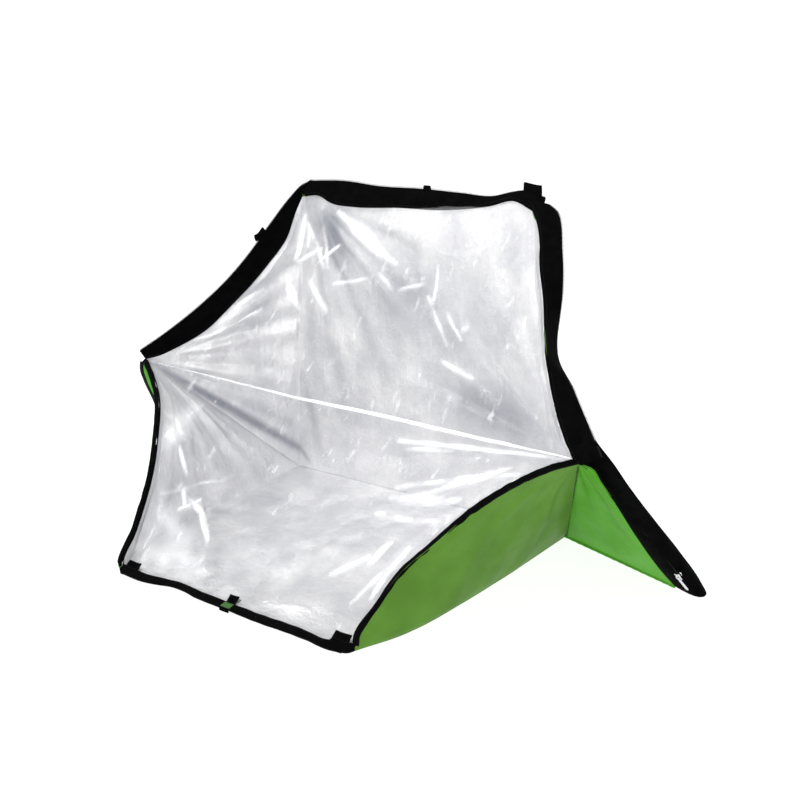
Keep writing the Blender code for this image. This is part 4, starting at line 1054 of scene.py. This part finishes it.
fasten("window_flap", "film", lower_film)
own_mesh(lower_film)

weld_look = film_look("welded_film", 0.1)
weld_slope = np.array((0.0, math.cos(math.radians(46)), math.sin(math.radians(46))))
weld_half = (0.0007 + 0.0021 * np.clip(np.linspace(-0.2, 2.1, film_columns), 0, 1)
    * np.clip(np.linspace(6, 0, film_columns), 0.1, 1))[:, None]
weld = strap("film_weld", weld_line + weld_sunk - weld_half * weld_slope,
    weld_line + weld_sunk + weld_half * weld_slope, 0.001, weld_look, rippled(97, 0.03, 0.0005))
# The weld's painted highlight: faint at its left end, full from about half way, fading at its right end and uneven
# along it.
weld_shine = (np.clip(np.linspace(0.1, 1.7, film_columns), 0, 1) ** 1.4
    * np.clip(np.linspace(9.0, 0.5, film_columns), 0, 1) * np.clip(0.78 + 0.3 * ripple(weld_line, 98, 0.09, 1.0),
    0.3, 1))
weld.data.attributes.new("painted_crease_highlight", "FLOAT", "POINT").data.foreach_set("value", np.repeat(0.85 * weld_shine, 32))
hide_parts("window_seam")
fasten("window_seam", "film", weld)
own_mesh(weld)

# Front tabs and patches
# Three short black webbing tabs are sewn over the floor's front edge, and their free ends fold up onto
# the film's fastening patches. The middle one is narrower and has a green bar sewn across its foot.
patch_look, patch_tree, patch_shader, patch_place = mottled("patch_green", (0.03, 0.11, 0.015), 0.9, 900.0, 0.35,
    0.65, (0.02, 0.075, 0.008), (0.05, 0.17, 0.022), sheen=0.1)
hook_look, hook_tree, hook_shader, hook_place = mottled("hook_white", (0.8, 0.8, 0.8), 0.6, 900.0, 0.35, 0.65,
    (0.62, 0.62, 0.63), (0.85, 0.85, 0.85))
bumps(patch_tree, patch_shader, (noise(patch_tree, patch_place, 1400.0, 2.0), 0.9, 0.0006))
bumps(hook_tree, hook_shader, (noise(hook_tree, hook_place, 1400.0, 2.0), 0.9, 0.0006))
tab_rows, tab_columns, tab_length, foot_rows = 36, 26, 0.0122, 24
foot_half_thick, tab_half_thick = 0.0007, 0.0008
for tab_name, tab_x, tab_half, tab_front in (("left", -0.186, 0.012, -0.24), ("centre", 0.001, 0.0078, -0.2438),
        ("right", 0.183, 0.013, -0.245)):
    s = np.linspace(0, 1, tab_rows)[:, None]
    x = tab_x + np.linspace(-tab_half, tab_half, tab_columns)[None, :] * (1 - 0.04 * s)
    slope = np.radians(41 - 6 * s)
    y = -0.2304 + np.cumsum(tab_length / tab_rows * np.cos(slope), axis=0)
    z = 0.0074 + np.cumsum(tab_length / tab_rows * np.sin(slope), axis=0)
    bow = 0.001 * np.cos((np.linspace(-1, 1, tab_columns)[None, :]) * 1.5) * s
    tab_grid = np.stack(np.broadcast_arrays(x, y - bow, z + bow * 0.3), axis=-1)
    foot_at = np.linspace(0, 1, foot_rows)
    foot_height = np.interp(foot_at, (0, 0.12, 0.3, 0.8, 1.0), (0.0012, 0.0044, 0.0062, 0.0072, 0.0076))[:, None]
    foot_depth = np.interp(foot_at, (0, 0.12, 0.3, 0.8, 1.0),
        (tab_front, tab_front - 0.0003, tab_front + 0.003, -0.2345, -0.2312))[:, None]
    foot_grid = np.stack(np.broadcast_arrays(x[:1], foot_depth, foot_height), axis=-1)
    foot_normal = face_normals(foot_grid, (0, -0.5, 1))
    foot_top = foot_grid + foot_normal * foot_half_thick
    foot = closed_sheet(f"{tab_name}_tab_foot", foot_grid - foot_normal * foot_half_thick, foot_top, band_look)
    fasten("base", "band", foot)
    tab_grid = tab_grid + np.array((0, 1, 0)) * ripple(tab_grid, 101, 0.02, 0.0003)[..., None]
    tab_normal = face_normals(tab_grid, (0, -1, 0.3))
    tab = closed_sheet(f"{tab_name}_webbing_tab", tab_grid - tab_normal * tab_half_thick,
        tab_grid + tab_normal * tab_half_thick, band_look)
    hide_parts(f"{tab_name}_tab")
    border, border_normal = (np.concatenate([g[3, 2:-2], g[4:-4, -3], g[-4, -3:1:-1], g[-4:3:-1, 2]])
        for g in (tab_grid, tab_normal))
    box_stitch = stitch_row(f"{tab_name}_tab_stitches", border + border_normal * 0.0009, border_normal, pitch=0.003,
        length=0.0022)
    fasten(f"{tab_name}_tab", "band", tab, box_stitch)
    if tab_name == "centre":
        bar = closed_sheet("centre_tab_green_bar", foot_top[6:22], foot_grid[6:22] + foot_normal[6:22] * 0.0013,
            patch_look)
        fasten("base", "patch", bar)
    u = np.linspace(-1, 1, 30)[None, :]
    w = np.linspace(-1, 1, 20)[:, None]
    crown = (1 - np.abs(u) ** 6) * (1 - np.abs(w) ** 6)
    patch_top = np.stack(np.broadcast_arrays(tab_x + 0.9 * tab_half * u, -0.2157 + 0.007 * w,
        0.0064 + 0.0008 * crown), axis=-1)
    patch_top = patch_top + np.array((0, 0, 1)) * (ripple(patch_top, 103, 0.003, 0.0001) * crown)[..., None]
    patch_base = patch_top * np.array((1, 1, 0)) + np.array((0, 0, 0.006))
    patch = closed_sheet(f"{tab_name}_loop_patch", patch_top, patch_base,
        patch_look if tab_name == "centre" else hook_look)
    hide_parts(f"{tab_name}_patch")
    fasten("base", "patch", patch)

# Loops
# Straps of the bands' black webbing: a loop that stands up behind the top right corner, and two small
# flat loops, one on the middle of the top band and one on the left band.
def webbing_loop(name, path, width_way, width, thickness, node, body):
    """A strap carried along a path: each ring is a rounded oblong, width across and thickness deep."""
    tangent = unit(np.gradient(path, axis=0))
    across = unit(np.array(width_way) - tangent * (tangent @ np.array(width_way))[:, None])
    out = np.cross(tangent, across)
    wide = squared(np.cos(circle(20)), 0.35)[None, :, None]
    deep = squared(np.sin(circle(20)), 0.6)[None, :, None]
    loop = tube(name, path[:, None] + width / 2 * wide * across[:, None] + thickness / 2 * deep * out[:, None],
        band_look)
    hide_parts(node)
    fasten(body, "band", loop)
    return loop


turn = np.linspace(0, math.pi, 60)
corner_path = np.stack([np.full(60, 0.171), 0.2555 + 0.0024 * np.cos(turn), 0.4985 + 0.0215 * np.sin(turn) ** 0.45],
    axis=1)
webbing_loop("corner_hanging_loop", corner_path, (0.98, -0.1, -0.12), 0.03, 0.0018, "top_corner_loop", "back")
turn = np.linspace(0, math.pi, 40)
top_loop_path = np.stack([np.full(40, -0.008), 0.2505 + 0.0017 * np.cos(turn),
    0.4965 + 0.0085 * np.sin(turn) ** 0.6], axis=1)
webbing_loop("top_centre_flat_loop", top_loop_path, (1.0, 0.0, 0.0), 0.012, 0.0014, "top_centre_loop", "back")
left_outer_line = smooth_line(left_band_outer, band_count)
left_out = unit(left_outer_line - smooth_line(left_band_inner, band_count))
spot = 70
spot_along = unit(left_outer_line[spot + 2] - left_outer_line[spot - 2])
spot_face = unit(np.cross(spot_along, left_out[spot]))
side_loop_path = (left_outer_line[spot] - 0.003 * left_out[spot] + 0.002 * np.cos(turn)[:, None] * spot_face
    + 0.012 * (np.sin(turn) ** 0.6)[:, None] * left_out[spot])
side_loop = webbing_loop("left_side_flat_loop", side_loop_path, tuple(spot_along), 0.02, 0.0016, "left_band_loop",
    "left_back_wall")
lie_flat(side_loop)
